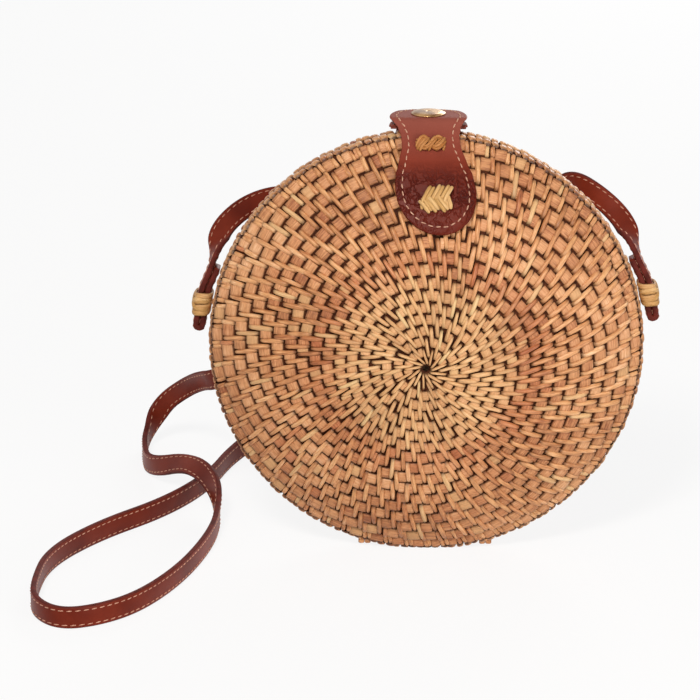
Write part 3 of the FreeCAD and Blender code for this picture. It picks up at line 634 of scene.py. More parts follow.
def weaveHalf(side, seed):
    chance = random.Random(seed)
    starts = stitchStarts(chance)
    blocks, stitches = {"shell": [], "rim": []}, {"shell": [], "rim": []}
    for row in range(rimRow + 1):
        part = "shell" if row < rimRow else "rim"
        if row == rimRow:
            stitches[part] += carriedStitches(side, starts[row - 1], chance)
        stitches[part] += rowStitches(side, row, starts[row], chance)
        if row > 0:
            blocks[part] += rowBlocks(side, row, starts, chance)
    stitches["rim"] += whippedEdge(side, chance)
    return blocks, stitches


# A closed wall turned about the disc's middle, from its outline of (radius, depth)
def turnedWall(name, side, outline, finish, steps=136, inside=None, insideEdges=()):
    rings = []
    for step in range(steps):
        turn = fullTurn * step / steps * -side
        rings.append([mm(radius * math.cos(turn), side * depth, bag["discHeight"] + radius * math.sin(turn))
                      for radius, depth in outline])
    wall = skin(name, rings, finish, loop=True)
    if inside:
        wall.data.materials.append(inside)
        for index, face in enumerate(wall.data.polygons):
            face.material_index = 1 if index % len(outline) in insideEdges else 0
    return wall


# Outline of a spherical wall, out along one sphere and back along the other
def domeOutline(outer, inner, radii):
    return [(radius, bag["sphereCentre"] + math.sqrt(sphere ** 2 - radius ** 2))
            for sphere, row in ((outer, radii), (inner, tuple(reversed(radii)))) for radius in row]


# The bed lies under the strands and closes the weave on the inside; its dark colour is painted shade in the
# gaps
halves = {"front": (-1, "front_half", 11), "back": (1, "back_half", 23)}
bedRadii = (1.4, 10, 20, 30, 40, 50, 60, 70, bag["domeEdge"])
bedOutline = domeOutline(bag["valleyRadius"] - 0.55, bag["crestRadius"] - bag["shellThickness"], bedRadii)
hoopOutline = [(79.4, 0.08), (84.1, 0.08), (84.1, 2.6), (83.4, 3.7), (82.3, 4.7), (79.4, 7.0)]
footLevel = 0.0002
for half, (side, body, seed) in halves.items():
    blocks, stitches = weaveHalf(side, seed)
    beds = {"shell": turnedWall(half + "ShellBed", side, bedOutline, finishes["bed"]),
            "rim": turnedWall(half + "RimBed", side, hoopOutline, finishes["bed"], inside=finishes["hoop"],
                              insideEdges=(0, 5))}
    for part, bed in beds.items():
        name = half + part.title()
        core = layStrands(name + "Cores", blocks[part], shapeSets["block"], finishes["core"], seed)
        peel = layStrands(name + "Stitches", stitches[part], shapeSets["stitch"], finishes["stitch"],
                          seed + 1)
        woven = joined([bed, core, peel], name + "Weave")
        # no strand goes below the flat that the bag stands on
        for vertex in woven.data.vertices:
            vertex.co.z = max(vertex.co.z, footLevel)
        settle(woven, [half + "_" + part], body)
        print(woven.name, "triangles", sum(len(face.vertices) - 2 for face in woven.data.polygons))
print("stage: weave made")

# Leather closing tab. Its outer face follows the dome, then turns over the
# rim as the flap; one piece of leather, curved over at the flap's hinge
tab = {
    "radius": 123.84,
    "bulbRadius": 15.5,
    "bulbHeight": 66.4,
    "splitHeight": 84.75,
    "flapTop": 90.1,
    "flapRun": 5.4,
    "flapEndCentre": 2.6,
    "flapEndRadius": 15.0,
    "flapFlatEnd": 11.4,
    "tailSlope": 8.0,
    "shiftTop": 0.4,
    "shiftBulb": 3.4,
    "topLayer": 0.8,
    "backLayer": 0.7,
    "backInset": 0.6,
    "seamInset": 2.7,
}
# half width at these heights over the disc's centre
tabWaist = [(68.6, 15.35), (71.5, 14.8), (76.5, 12.9), (81.0, 11.3), (84.0, 11.1), (87.0, 12.0),
            (89.4, 13.6), (90.6, 14.85)]
bulbAngles = (4, 11, 19, 27, 36, 45, 54, 63, 72, 81, 90, 98)
# Tab under the flap on the back half: flat below the stud, then down the dome
backTab = {"top": 86.8, "start": 0.3, "flatEnd": 10.8, "landing": 72.5, "neck": 11.6, "knee": (14.0, 85.6)}
# distance at which a strip's end no longer matters
inland = 9.0
snapPlace = (0.4, 6.2)


# smooth values through (place, value) marks
def blendThrough(marks, value):
    if value <= marks[0][0]:
        return marks[0][1]
    for (low, first), (high, last) in zip(marks, marks[1:]):
        if value <= high:
            share = (value - low) / (high - low)
            return first + (last - first) * share * share * (3 - 2 * share)
    return marks[-1][1]


# A row across a strip: y, height over the disc's centre, the face's normal as
# y and z, half the width, and the distance from the strip's end
def domeRow(side, height, half, end):
    swing = math.asin(height / tab["radius"])
    return (side * (bag["sphereCentre"] + tab["radius"] * math.cos(swing)), height,
            side * math.cos(swing), math.sin(swing), half, end)


def bulbRows(side, inset):
    radius = tab["bulbRadius"] - inset
    return [domeRow(side, tab["bulbHeight"] - radius * math.cos(swing), radius * math.sin(swing),
                    radius * (1 - math.cos(swing))) for swing in map(math.radians, bulbAngles)]


# From the bulb's foot up the dome, straight on, over the rim in an arc and to the flap's round end
def tabRows(inset):
    rows = bulbRows(-1, inset)
    for height in (70.5, 72.5, 74.5, 76.5, 78.5, 80.5, 82.5, tab["splitHeight"]):
        rows.append(domeRow(-1, height, blendThrough(tabWaist, height) - inset, inland))
    startY, startHeight, ny, nz = rows[-1][:4]
    for run in (1.8, 3.6, tab["flapRun"]):
        height = startHeight - ny * run
        rows.append((startY + nz * run, height, ny, nz, blendThrough(tabWaist, height) - inset, inland))
    kneeY, kneeHeight = rows[-1][:2]
    bend = (tab["flapTop"] - kneeHeight) / (1 - nz)
    arcSteps = 5
    for step in range(1, arcSteps + 1):
        turn = math.pi / 2 + math.atan2(-ny, nz) * (1 - step / arcSteps)
        height = tab["flapTop"] - bend + bend * math.sin(turn)
        rows.append((kneeY - bend * ny + bend * math.cos(turn), height, math.cos(turn), math.sin(turn),
                     blendThrough(tabWaist, height + 0.1 * step) - inset, inland))
    endRadius = tab["flapEndRadius"] - inset
    slope = math.radians(tab["tailSlope"])
    for angle in (0, 10, 20, 30, 38, 46, 54, 62, 70, 77, 84, 88):
        swing = math.radians(angle)
        y = tab["flapEndCentre"] + endRadius * math.sin(swing)
        beyond = max(0.0, y - tab["flapFlatEnd"])
        lean = slope if beyond else 0.0
        rows.append((y, tab["flapTop"] - beyond * math.tan(slope), math.sin(lean), math.cos(lean),
                     endRadius * math.cos(swing), endRadius * (1 - math.sin(swing))))
    return rows


# From the straight front edge back under the flap, over a knee and down the dome to the bulb
def backRows(inset):
    rows = []
    for y, end in ((backTab["start"] + inset, 0.0), (0.7, 0.5), (1.6, 1.5), (3.5, inland), (6.2, inland),
                   (9.0, inland), (backTab["flatEnd"], inland)):
        half = blendThrough([(0.3, 15.2), (5.0, 15.0), (12.0, backTab["neck"])], y)
        rows.append((y, backTab["top"], 0.0, 1.0, half - inset, end))
    for y, height, turn in ((12.0, 86.65, 0.16), (13.1, 86.25, 0.42), (*backTab["knee"], 0.66)):
        rows.append((y, height, math.sin(turn), math.cos(turn), backTab["neck"] - inset, inland))
    kneeY, kneeHeight = backTab["knee"]
    footY, footHeight = domeRow(1, backTab["landing"], 0, 0)[:2]
    normal = Vector((kneeHeight - footHeight, footY - kneeY)).normalized()
    for share in (0.3, 0.65):
        rows.append((kneeY + (footY - kneeY) * share, kneeHeight + (footHeight - kneeHeight) * share,
                     normal[0], normal[1], backTab["neck"] + 3.2 * share - inset, inland))
    return rows + list(reversed(bulbRows(1, inset)))


def tabLean(height):
    share = (height - tab["bulbHeight"]) / (tab["flapTop"] - tab["bulbHeight"])
    return tab["shiftBulb"] + (tab["shiftTop"] - tab["shiftBulb"]) * share


# Points on a row, x from its middle and depth under its face; the strip sags
# a little at its sides where it lies on the dome
def onTab(row, x, depth):
    y, height, ny, nz = row[:4]
    down = depth + (0.55 * x * x / (2 * tab["radius"]) if height < tab["splitHeight"] else 0.0)
    return mm(tabLean(height) + x, y - ny * down, bag["discHeight"] + height - nz * down)


def onBackTab(row, x, depth):
    y, height, ny, nz = row[:4]
    down = depth + (0.5 * x * x / (2 * tab["radius"]) if height < backTab["landing"] else 0.0)
    return mm(tab["shiftTop"] - x, y - ny * down, bag["discHeight"] + height - nz * down)


# A leather layer: rows across its outline, rounded over at every edge
def leatherLayer(name, rows, place, top, thickness, edge):
    shares = (0.0, 0.08, 0.3, 0.65, 1.0)
    rings = []
    for row in rows:
        half, end = row[4], row[5]
        reach = edge * min(1.0, half / (2 * edge))
        sides = [(-half + reach * share, share) for share in shares]
        inner = [(-half * part, 1.0) for part in (0.72, 0.45, 0.2, -0.2, -0.45, -0.72)]
        across = sides + inner + [(-x, share) for x, share in reversed(sides)]
        face, under = [], []
        for x, share in across:
            share = min(share, min(1.0, end / edge))
            rounding = 1 - math.sqrt(max(0.0, 1 - (1 - share) ** 2))
            face.append(place(row, x, top + thickness * 0.5 * rounding))
            under.append(place(row, x, top + thickness * (1 - 0.5 * rounding)))
        rings.append(face + list(reversed(under)))
    return skin(name, rings, finishes["tab"])


# Thread stitches along a line of points on a face, with the face's normals
def threadLine(line, pitch=2.9, length=2.15, wide=0.52, high=0.34, cant=5.0):
    cells = []
    reached = [0.0]
    for (a, na), (b, nb) in zip(line, line[1:]):
        reached.append(reached[-1] + (b - a).length)
    count = int(reached[-1] * 1000 / pitch)
    index = 0
    for step in range(count):
        along = (step + 0.5) * reached[-1] / count
        while reached[index + 1] < along:
            index += 1
        (a, na), (b, nb) = line[index], line[index + 1]
        share = (along - reached[index]) / (reached[index + 1] - reached[index])
        normal = (na * (1 - share) + nb * share).normalized()
        forward = b - a
        forward = (forward - normal * forward.dot(normal)).normalized()
        facing = Matrix((forward.cross(normal), forward, normal)).transposed()
        facing = facing @ Matrix.Rotation(math.radians(cant), 3, "Z")
        cells.append({"place": a * (1 - share) + b * share, "turn": tuple(facing.to_euler()),
                      "stretch": tuple(mm(wide, length, high)), "shade": (0.5, 0.0, 0.0)})
    return cells


# The seam goes down one side of the rows, round the first rows and up the other side
def seamPath(rows, place):
    left, right = [], []
    inset, radius = tab["seamInset"], tab["bulbRadius"]
    for row in rows:
        half, end = row[4] - inset, row[5]
        if half <= 0.2 or end < inset:
            continue
        if end < inland:
            half = math.sqrt(max(0.0, (radius - inset) ** 2 - (radius - end) ** 2))
        normal = Vector((0, row[2], row[3]))
        left.append((place(row, -half, -0.02), normal))
        right.append((place(row, half, -0.02), normal))
    return list(reversed(left)) + right


# A sewn top layer and its backing, as two pieces
def tabLayers(name, rows, backingRows, seamRows, place, seed):
    top = leatherLayer(name, rows, place, 0.0, tab["topLayer"], 0.5)
    thread = layStrands(name + "Thread", threadLine(seamPath(seamRows, place)), shapeSets["thread"],
                        finishes["thread"], seed)
    backing = leatherLayer(name + "Backing", backingRows, place, tab["topLayer"] + 0.02, tab["backLayer"],
                           0.3)
    return joined([top, thread], name), backing


# A round hole through a piece under the snap, its axis upright
def bored(thing, radius, heights):
    rings = [[mm(snapPlace[0] + radius * math.cos(fullTurn * step / 48),
                 snapPlace[1] + radius * math.sin(fullTurn * step / 48), height) for step in range(48)]
             for height in heights]
    drill = skin("drill", rings, finishes["tab"])
    cut = thing.modifiers.new("hole", "BOOLEAN")
    cut.object = drill
    cut.operation = "DIFFERENCE"
    mesh = evaluatedMesh(thing)
    thing.modifiers.clear()
    thing.data = mesh
    bpy.data.objects.remove(drill)


front, under = tabLayers("closingTab", tabRows(0.0), tabRows(tab["backInset"]), tabRows(0.0), onTab, 5)
bored(under, 5.1, (172.0, 174.1))
for piece, nodes in ((front, ("front_tab", "tab_flap")), (under, ("front_tab_backing", "tab_flap_backing"))):
    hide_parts(*nodes)
    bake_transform(piece)
print("stage: closing tab made")

# the back tab's seam leaves out its front edge
rows = backRows(0.0)
layers = tabLayers("backTab", rows, backRows(tab["backInset"]), rows[:2:-1], onBackTab, 6)
for piece, node in zip(layers, ("back_tab", "back_tab_backing")):
    settle(piece, [node], "back_half")
print("stage: back tab made")

# Press snap, turned parts with their axis upright: node, body, height, outline as (radius, rise)
snapParts = {
    "snapCap": ("snap_cap", "closure_flap", 174.5,
                [(0.01, -0.78), (1.2, -0.78), (1.2, 0.02), (6.3, 0.02), (6.68, 0.12), (6.72, 0.32),
                 (6.5, 0.5), (6.0, 0.52), (5.9, 0.62), (5.5, 0.84), (4.6, 0.97), (3.0, 1.03), (1.4, 1.05),
                 (0.01, 1.05)]),
    "snapSocket": ("snap_socket", "closure_flap", 172.7,
                   [(2.4, 0.0), (4.7, 0.0), (5.0, 0.2), (5.0, 0.98), (0.01, 0.98), (0.01, 0.8), (2.4, 0.8),
                    (2.5, 0.4)]),
    "snapStud": ("snap_stud", "back_half", 171.2,
                 [(0.01, 0.0), (4.4, 0.0), (4.5, 0.15), (4.3, 0.38), (2.2, 0.4), (1.65, 0.5), (1.8, 0.75),
                  (1.7, 1.0), (1.3, 1.18), (0.01, 1.2)]),
    "snapRivet": ("snap_rivet", "back_half", 171.2,
                  [(0.01, -1.38), (3.8, -1.38), (3.98, -1.2), (3.9, -0.92), (1.0, -0.9), (1.0, 0.0),
                   (0.01, 0.0)]),
}
for name, (node, body, height, outline) in snapParts.items():
    turns = [fullTurn * step / 56 for step in range(56)]
    rings = [[mm(snapPlace[0] + radius * math.cos(turn), snapPlace[1] + radius * math.sin(turn),
                 height + rise) for radius, rise in outline] for turn in turns]
    settle(skin(name, rings, finishes["brass"], loop=True), [node], body)
print("stage: snap made")


# A smooth curve through the points
def smoothLine(points, steps):
    line = []
    for index in range(len(points) - 1):
        p0 = points[max(index - 1, 0)]
        p1, p2 = points[index], points[index + 1]
        p3 = points[min(index + 2, len(points) - 1)]
        for step in range(steps):
            t = step / steps
            line.append(0.5 * ((2 * p1) + (p2 - p0) * t + (2 * p0 - 5 * p1 + 4 * p2 - p3) * t * t
                               + (3 * p1 - p0 - 3 * p2 + p3) * t ** 3))
    line.append(points[-1])
    return line


# keeps the sign; a power under 1 squares a circle off
def powered(value, power):
    return math.copysign(abs(value) ** power, value)


# A strand of oval section along the line; its grain runs with it
def sweptStrand(name, points, normals, width, thick, finish, seed, closed=False, warm=0.0):
    rings, grain, reached = [], [], 0.0
    count = len(points)
    for index, point in enumerate(points):
        before = points[index - 1] if index or closed else point
        after = points[(index + 1) % count] if index < count - 1 or closed else point
        forward = (after - before).normalized()
        normal = (normals[index] - forward * forward.dot(normals[index])).normalized()
        across = forward.cross(normal)
        if index:
            reached += (point - points[index - 1]).length
        # open strands grow thin at both ends
        slim = 1.0 if closed else (0.35, 0.8, 0.95, 1.0)[min(index, count - 1 - index, 3)]
        ring = []
        for step in range(10):
            turn = fullTurn * step / 10
            flat = powered(math.cos(turn), 0.8)
            ring.append(point + across * (flat * width * slim / 2000)
                        + normal * (math.sin(turn) * thick * slim / 2000))
            grain.append((reached * 1000, flat * width, 0.6 + 0.4 * math.sin(turn)))
        rings.append(ring)
    piece = skin(name, rings, finish, loop=closed)
    setVectors(piece.data, "grain", grain)
    chance = random.Random(seed)
    shade = (chance.uniform(0.2, 0.9), warm + chance.uniform(0, 0.15), 0.0)
    setVectors(piece.data, "shade", [shade] * len(grain))
    return piece


# Knots, as strands in millimetres: across, along the tab, above the leather
knots = {
    "upper": {"width": 2.2, "warm": 0.7, "pull": 0.9, "passes": [
        [(-6.2, -2.0, 0.2), (-4.7, 0.9, 1.6), (-2.7, 2.2, 1.3), (-0.7, 0.5, 0.8), (0.7, -1.5, 1.2),
         (2.6, -2.3, 1.7), (4.7, -0.7, 1.6), (6.2, 1.9, 0.2)],
        [(-6.3, 1.6, 0.2), (-4.5, -0.7, 0.8), (-2.4, -2.2, 1.5), (-0.3, -0.8, 1.8), (1.1, 1.1, 1.4),
         (3.1, 2.2, 1.2), (4.6, 0.6, 0.8), (5.7, -2.4, 0.2)],
        [(-1.2, 2.9, 0.2), (-2.4, 0.6, 1.7), (-4.3, -1.4, 1.5), (-5.2, -2.9, 0.2)],
        [(2.2, 3.0, 0.2), (1.3, 0.9, 1.9), (-0.6, -1.3, 1.6), (-1.5, -2.9, 0.2)],
        [(5.4, 2.9, 0.2), (4.2, 0.4, 1.9), (2.5, -1.2, 1.5), (1.7, -2.9, 0.2)],
    ]},
    "lower": {"width": 2.9, "warm": 0.0, "pull": 1.0, "passes": [
        [(-6.3, -0.2, 0.3), (-5.0, -1.6, 1.3), (-3.6, -3.4, 1.3), (-2.2, -5.1, 0.3)],
        [(-1.6, 5.0, 0.3), (-2.8, 2.6, 1.5), (-4.2, -0.2, 1.5), (-4.9, -2.4, 1.0), (-4.9, -4.4, 0.3)],
        [(-3.8, 0.2, 1.4), (-2.6, -1.4, 1.9), (-1.0, -3.2, 1.5), (0.4, -4.7, 0.3)],
        [(1.9, 5.5, 0.3), (0.8, 3.0, 1.6), (-0.7, 0.2, 1.6), (-1.6, -2.2, 1.0), (-1.9, -4.4, 0.4)],
        [(-0.4, 0.8, 1.5), (0.8, -1.0, 2.0), (2.4, -3.0, 1.5), (3.9, -4.7, 0.3)],
        [(5.3, 5.3, 0.3), (4.2, 3.0, 1.6), (2.8, 0.4, 1.7), (2.0, -2.0, 1.1), (1.8, -4.4, 0.3)],
        [(3.2, 1.4, 1.4), (4.0, -0.6, 1.4), (4.6, -2.6, 1.0), (4.6, -4.2, 0.3)],
    ]},
}


def tieKnot(name, kind, height, side, shift, node, body, seed):
    tie = knots[kind]
    y, height, ny, nz = domeRow(side, height, 0, 0)[:4]
    spot = mm(shift, y, bag["discHeight"] + height)
    normal = Vector((0, ny, nz))
    along = Vector((0, -side * nz, side * ny))
    across = Vector((-side, 0, 0))
    strands = []
    for index, points in enumerate(tie["passes"]):
        # each pass of the knot is a pair of strands laid side by side
        run = Vector((points[-1][0] - points[0][0], points[-1][1] - points[0][1])).normalized()
        for half in (-1, 1):
            aside = run.orthogonal() * half * tie["width"] * 0.24
            line = smoothLine([spot + (across * (x * tie["pull"] + aside.x) + along * (y + aside.y)
                                       + normal * (z - 0.1 + 0.12 * half)) / 1000
                               for x, y, z in points], 5)
            strands.append(sweptStrand(name + str(index), line, [normal] * len(line), tie["width"] * 0.54,
                                       1.05, finishes["straw"], seed + 20 * index + half,
                                       warm=tie["warm"]))
    settle(joined(strands, name), [node], body)


tieKnot("upperTabKnot", "upper", 81.8, -1, tabLean(81.8), "tab_knot_upper", "front_half", 60)
tieKnot("lowerTabKnot", "lower", 63.4, -1, tabLean(63.4), "tab_knot_lower", "front_half", 70)
tieKnot("upperBackKnot", "upper", 68.0, 1, 0.4, "back_tab_knot_upper", "back_half", 80)
tieKnot("lowerBackKnot", "lower", 56.9, 1, 0.4, "back_tab_knot_lower", "back_half", 90)
print("stage: knots made")

# Shoulder strap with its folded ends, and the rattan rings that carry it
strap = {
    "width": 8.5,
    "thickness": 2.25,
    "corner": 0.75,
    "seamPlace": 2.85,
    "legGap": 0.3,
    "foldCentre": -8.85,
    "bendHeight": 5.0,
    "tipLean": 14.0,
    "tipRun": 10.0,
}
ring = {
    "radius": 88.9,
    "place": 6.5,
    "spots": {"Left": (-1, 9.1), "Right": (1, 12.3)},
    "halfWidth": 3.15,
    "halfDepth": 5.2,
    "squareness": 0.62,
    "strandSpacing": 2.17,
}


# Section of the strap: flat faces with rounded edges, (across, up) in millimetres
def strapSection():
    half, thick, corner = strap["width"] / 2, strap["thickness"] / 2, strap["corner"]
    section = []
    for sx, sy, start in ((1, 1, 0), (-1, 1, 90), (-1, -1, 180), (1, -1, 270)):
        for turn in (0, 30, 60, 90):
            swing = math.radians(start + turn)
            section.append((sx * (half - corner) + corner * math.cos(swing),
                            sy * (thick - corner) + corner * math.sin(swing)))
    return section


paintedSides = (0, 1, 5, 6, 7, 8, 9, 13, 14, 15)  # of the section's sixteen, those on the cut edges


def sweptStrap(name, line, widths, ways):
    rings, faces = [], []
    for point, width, way in zip(line, widths, ways):
        width = (width - way * width.dot(way)).normalized()
        up = way.cross(width)
        rings.append([point + (width * x + up * y) / 1000 for x, y in strapSection()])
        faces.append((point, width, up))
    piece = skin(name, rings, finishes["strap"])
    piece.data.materials.append(finishes["edge"])
    for face in piece.data.polygons:
        painted = len(face.vertices) == 4 and face.index % len(rings[0]) in paintedSides
        face.material_index = 1 if painted else 0
    return piece, faces


# Two seams on each face of the strap
def strapThreads(name, faces):
    cells = []
    for side in (-1, 1):
        for face in (-1, 1):
            line = [(point + (width * side * strap["seamPlace"] + up * face * strap["thickness"] / 2) / 1000,
                     up * face) for point, width, up in faces]
            cells += threadLine(line, pitch=3.3, length=2.4, wide=0.45, high=0.28, cant=4.0)
    return layStrands(name, cells, shapeSets["thread"], finishes["strapThread"], 7)


def waysAlong(line):
    last = len(line) - 1
    return [(line[min(index + 1, last)] - line[max(index - 1, 0)]).normalized() for index in range(last + 1)]


# Once round an oval squared off by its power: turn, x and y at each step
def ovalSteps(count, halfWide, halfDeep, power):
    swings = [fullTurn * step / count for step in range(count)]
    return [(swing, powered(math.cos(swing), power) * halfWide, powered(math.sin(swing), power) * halfDeep)
            for swing in swings]


strapTips = {}
for name, (side, angle) in ring["spots"].items():
    turn = math.radians(angle)
    spot = mm(side * ring["radius"] * math.cos(turn), ring["place"],
              bag["discHeight"] + ring["radius"] * math.sin(turn))
    tilt = Matrix.Rotation(-side * turn, 3, "Y")
    oval = ovalSteps(40, ring["halfWidth"], ring["halfDepth"], ring["squareness"])
    normals = [(tilt @ Vector((math.cos(swing), math.sin(swing), 0))).normalized() for swing, x, y in oval]
    strands = []
    for level in range(4):
        line = [spot + tilt @ mm(x, y, -3.25 + ring["strandSpacing"] * level
                                 + 0.3 * math.sin(swing + level * 1.3) - 0.7 * side * math.cos(swing))
                for swing, x, y in oval]
        strands.append(sweptStrand("strand" + str(level), line, normals, 2.3, 1.1 + 0.2 * (level % 2),
                                   finishes["straw"], 100 + level, closed=True,
                                   warm=0.15 + 0.2 * (level % 2)))
    # two strands cross over the outside and bind the four
    for slant in (-1, 1):
        line = [spot + tilt @ mm(x + (0.6 * side if math.cos(swing) * side > 0 else 0.0), y,
                                 0.4 * slant + 2.4 * slant * math.sin(swing)) for swing, x, y in oval]
        strands.append(sweptStrand("binding", line, normals, 1.9, 1.1, finishes["straw"], 120 + slant,
                                   closed=True, warm=0.1))
    settle(joined(strands, "strapRing" + name), ["strap_ring_" + name.lower()], "back_half")

    # the strap's end comes in leaning, goes down through the ring, folds and goes up again
    leg = (strap["thickness"] + strap["legGap"]) / 2
    lean = math.radians(strap["tipLean"])
    run = (-math.sin(lean) * strap["tipRun"], math.cos(lean) * strap["tipRun"])
    leaning = [(run[0] * share, strap["bendHeight"] + run[1] * share) for share in (1.0, 0.5, 0.15)]
    straight = (strap["bendHeight"] - 1.5, 0.0, -4.0)
    path = [(-leg + x, z) for x, z in leaning] + [(-leg, z) for z in straight]
    for step in range(13):
        swing = math.pi + math.pi * step / 12
        path.append((leg * math.cos(swing), strap["foldCentre"] + leg * math.sin(swing)))
    path += [(leg, z) for z in reversed(straight)] + [(leg + x, z) for x, z in reversed(leaning)]
    line = [spot + tilt @ mm(side * x, 0, z) for x, z in path]
    ways = waysAlong(line)
    piece, faces = sweptStrap("strapEnd" + name, line, [Vector((0, 1, 0))] * len(line), ways)
    piece = joined([piece, strapThreads("strapEndThread" + name, faces)], "strapEnd" + name)
    settle(piece, ["strap_end_" + name.lower()], "back_half")
    strapTips[name] = (line[-1], ways[-1])
print("stage: rings and strap ends made")

# Corner points of the strap's middle line and, where it is set, the way its
# width points there. The spline runs from ring to ring
strapRoute = [
    (None, (0, 1, 0)),
    ((-82.5, 8.0, 119.0), None),
    ((-80.8, 17.5, 125.8), None),
    ((-70.0, 29.5, 132.5), (-0.61, 0.23, 0.76)),
    ((-55.0, 40.0, 133.5), (-0.2, 0.2, 0.95)),
    ((-42.0, 45.5, 124.5), (0.5, 0.2, 0.75)),
    ((-36.5, 52.5, 104.0), (0.73, 0.12, 0.38)),
    ((-44.0, 64.0, 73.0), (0.73, 0.0, -0.4)),
    ((-66.5, 78.0, 52.5), (0.3, -0.22, -0.72)),
    ((-88.5, 86.0, 41.0), (0.3, -0.25, -0.8)),
    ((-94.5, 102.0, 36.0), (0.5, -0.25, -0.84)),
    ((-102.0, 118.5, 28.0), (0.4, -0.2, -0.84)),
    ((-113.0, 128.0, 17.5), (0.1, -0.1, -1)),
    ((-119.5, 121.5, 5.5), (0, 0, -1)),
    ((-119.5, 104.5, 4.5), (0, 0, -1)),
    ((-116.0, 79.5, 4.5), (0, 0, -1)),
    ((-96.0, 56.0, 15.5), (-0.58, -0.4, -0.71)),
    ((-85.0, 36.0, 12.0), (-0.3, -0.2, -0.9)),
    ((-83.0, 15.0, 4.6), (0, 0, -1)),
    ((-86.0, -14.0, 4.5), (0, 0, -1)),
    ((-94.5, -48.5, 4.5), (0, 0, -1)),
    ((-107.5, -78.0, 4.5), (0, 0, -1)),
    ((-121.5, -93.0, 4.5), (0, 0, -1)),
    ((-136.5, -98.5, 4.5), (0, 0, -1)),
    ((-147.5, -85.5, 4.5), (0, 0, -1)),
    ((-149.5, -66.0, 4.5), (0, 0, -1)),
    ((-147.5, -32.5, 4.5), (0, 0, -1)),
    ((-130.5, 0.5, 4.5), (0, 0, -1)),
    ((-105.5, 30.0, 4.5), (0, 0, -1)),
    ((-89.5, 63.0, 4.5), (0, 0, -1)),
    ((-82.0, 98.5, 4.5), (0, 0, -1)),
    ((-66.5, 117.0, 10.0), (0.1, 0, -1)),
    ((-30.0, 128.0, 18.5), (0.2, -0.1, -0.9)),
    ((6.0, 122.0, 29.0), (0.4, -0.15, -0.8)),
    ((31.0, 103.5, 53.0), (0.78, -0.18, -0.6)),
    ((43.5, 82.5, 80.0), (0.8, -0.1, -0.4)),
    ((50.0, 62.0, 106.0), (0.8, -0.05, -0.25)),
    ((52.0, 47.0, 132.0), (0.67, -0.04, -0.14)),
    ((57.0, 37.0, 141.5), (0.3, -0.2, -0.7)),
    ((69.0, 26.5, 136.0), (-0.36, -0.21, -0.72)),
    ((77.2, 18.5, 129.3), None),
    ((80.4, 8.8, 123.0), None),
    (None, (0, -1, 0)),
]
spots = [strapTips["Left"][0]] + [mm(*spot) for spot, width in strapRoute[1:-1]] + [strapTips["Right"][0]]
curve = bpy.data.curves.new("strapLine", "CURVE")
curve.dimensions = "3D"
curve.resolution_u = 10
spline = curve.splines.new("NURBS")
spline.points.add(len(spots) - 1)
for point, spot in zip(spline.points, spots):
    point.co = (*spot, 1.0)
spline.order_u = 3
spline.use_endpoint_u = True
route = bpy.data.objects.new("strapLine", curve)
scene.collection.objects.link(route)
bpy.context.view_layer.update()
strapLine = [vertex.co.copy() for vertex in bpy.data.meshes.new_from_object(route).vertices]
bpy.data.objects.remove(route)
marks = [index for index, row in enumerate(strapRoute) if row[1]]


def widthAt(place):
    before = max(mark for mark in marks if mark <= place)
    after = min(mark for mark in marks if mark >= place)
    share = 0 if after == before else (place - before) / (after - before)
    return Vector(strapRoute[before][1]).lerp(Vector(strapRoute[after][1]), share)


spans = len(spots) - 2
widths = []
for index in range(len(strapLine)):
    # the spline starts and ends on its outer points, half a span early
    place = index / (len(strapLine) - 1) * spans
    place += 0.5 * min(1.0, place) + 0.5 * max(0.0, place - spans + 1)
    widths.append(widthAt(min(place, len(spots) - 1.0)))
ways = waysAlong(strapLine)
ways[0], ways[-1] = strapTips["Left"][1], strapTips["Right"][1] * -1
strapPiece, faces = sweptStrap("shoulderStrap", strapLine, widths, ways)
strapLength = sum((b - a).length for a, b in zip(strapLine, strapLine[1:]))
print("strap samples", len(strapLine), "length in mm", round(strapLength * 1000, 1))
strapThread = strapThreads("shoulderStrapThread", faces)
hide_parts("strap_left", "strap_floor_loop", "strap_right")
for piece in (strapPiece, strapThread):
    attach(piece, "back_half")
print("stage: strap made")

# Cloth linings, glued inside the domes
liningSphere, liningThickness = 118.0, 0.9
liningRadii = (0.05, 0.8, 8, 16, 24, 32, 40, 48, 56, 64, 71, 78.4)
liningOutline = domeOutline(liningSphere, liningSphere - liningThickness, liningRadii)
for half, (side, body, seed) in halves.items():
    lining = turnedWall(half + "Lining", side, liningOutline, finishes["cloth"], steps=72)
    settle(lining, [half + "_lining"], body)

# Lashings that hinge the halves at the foot: strands looped through both rims
lashing = {"places": {"Left": -24.0, "Right": 24.0}, "height": 5.8, "halfDeep": 2.4, "halfHigh": 4.5,
           "squareness": 0.35, "strands": (-1.25, 1.25)}
for name, place in lashing["places"].items():
    oval = ovalSteps(32, lashing["halfDeep"], lashing["halfHigh"], lashing["squareness"])
    normals = [Vector((0, math.cos(swing), math.sin(swing))) for swing, y, z in oval]
    strands = []
    for index, shift in enumerate(lashing["strands"]):
        line = [mm(place + shift, y, lashing["height"] + z) for swing, y, z in oval]
        strands.append(sweptStrand("lash" + str(index), line, normals, 2.4, 1.0, finishes["stitch"],
                                   130 + index, closed=True))
    piece = joined(strands, "hingeLashing" + name)
    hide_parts("hinge_lashing_" + name.lower())
    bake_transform(piece)
print("stage: linings and lashings made")


# 1 for rays from the camera and for those that metal or glass sends on: they see the white background
def backgroundRays(tree):
    path = addNode(tree, "ShaderNodeLightPath")
    bounced = addNode(tree, "ShaderNodeMath", {0: path["Is Glossy Ray"], 1: path["Is Transmission Ray"]},
                      operation="MAXIMUM")[0]
    return addNode(tree, "ShaderNodeMath", {0: path["Is Camera Ray"], 1: bounced},
                   operation="MAXIMUM")[0]


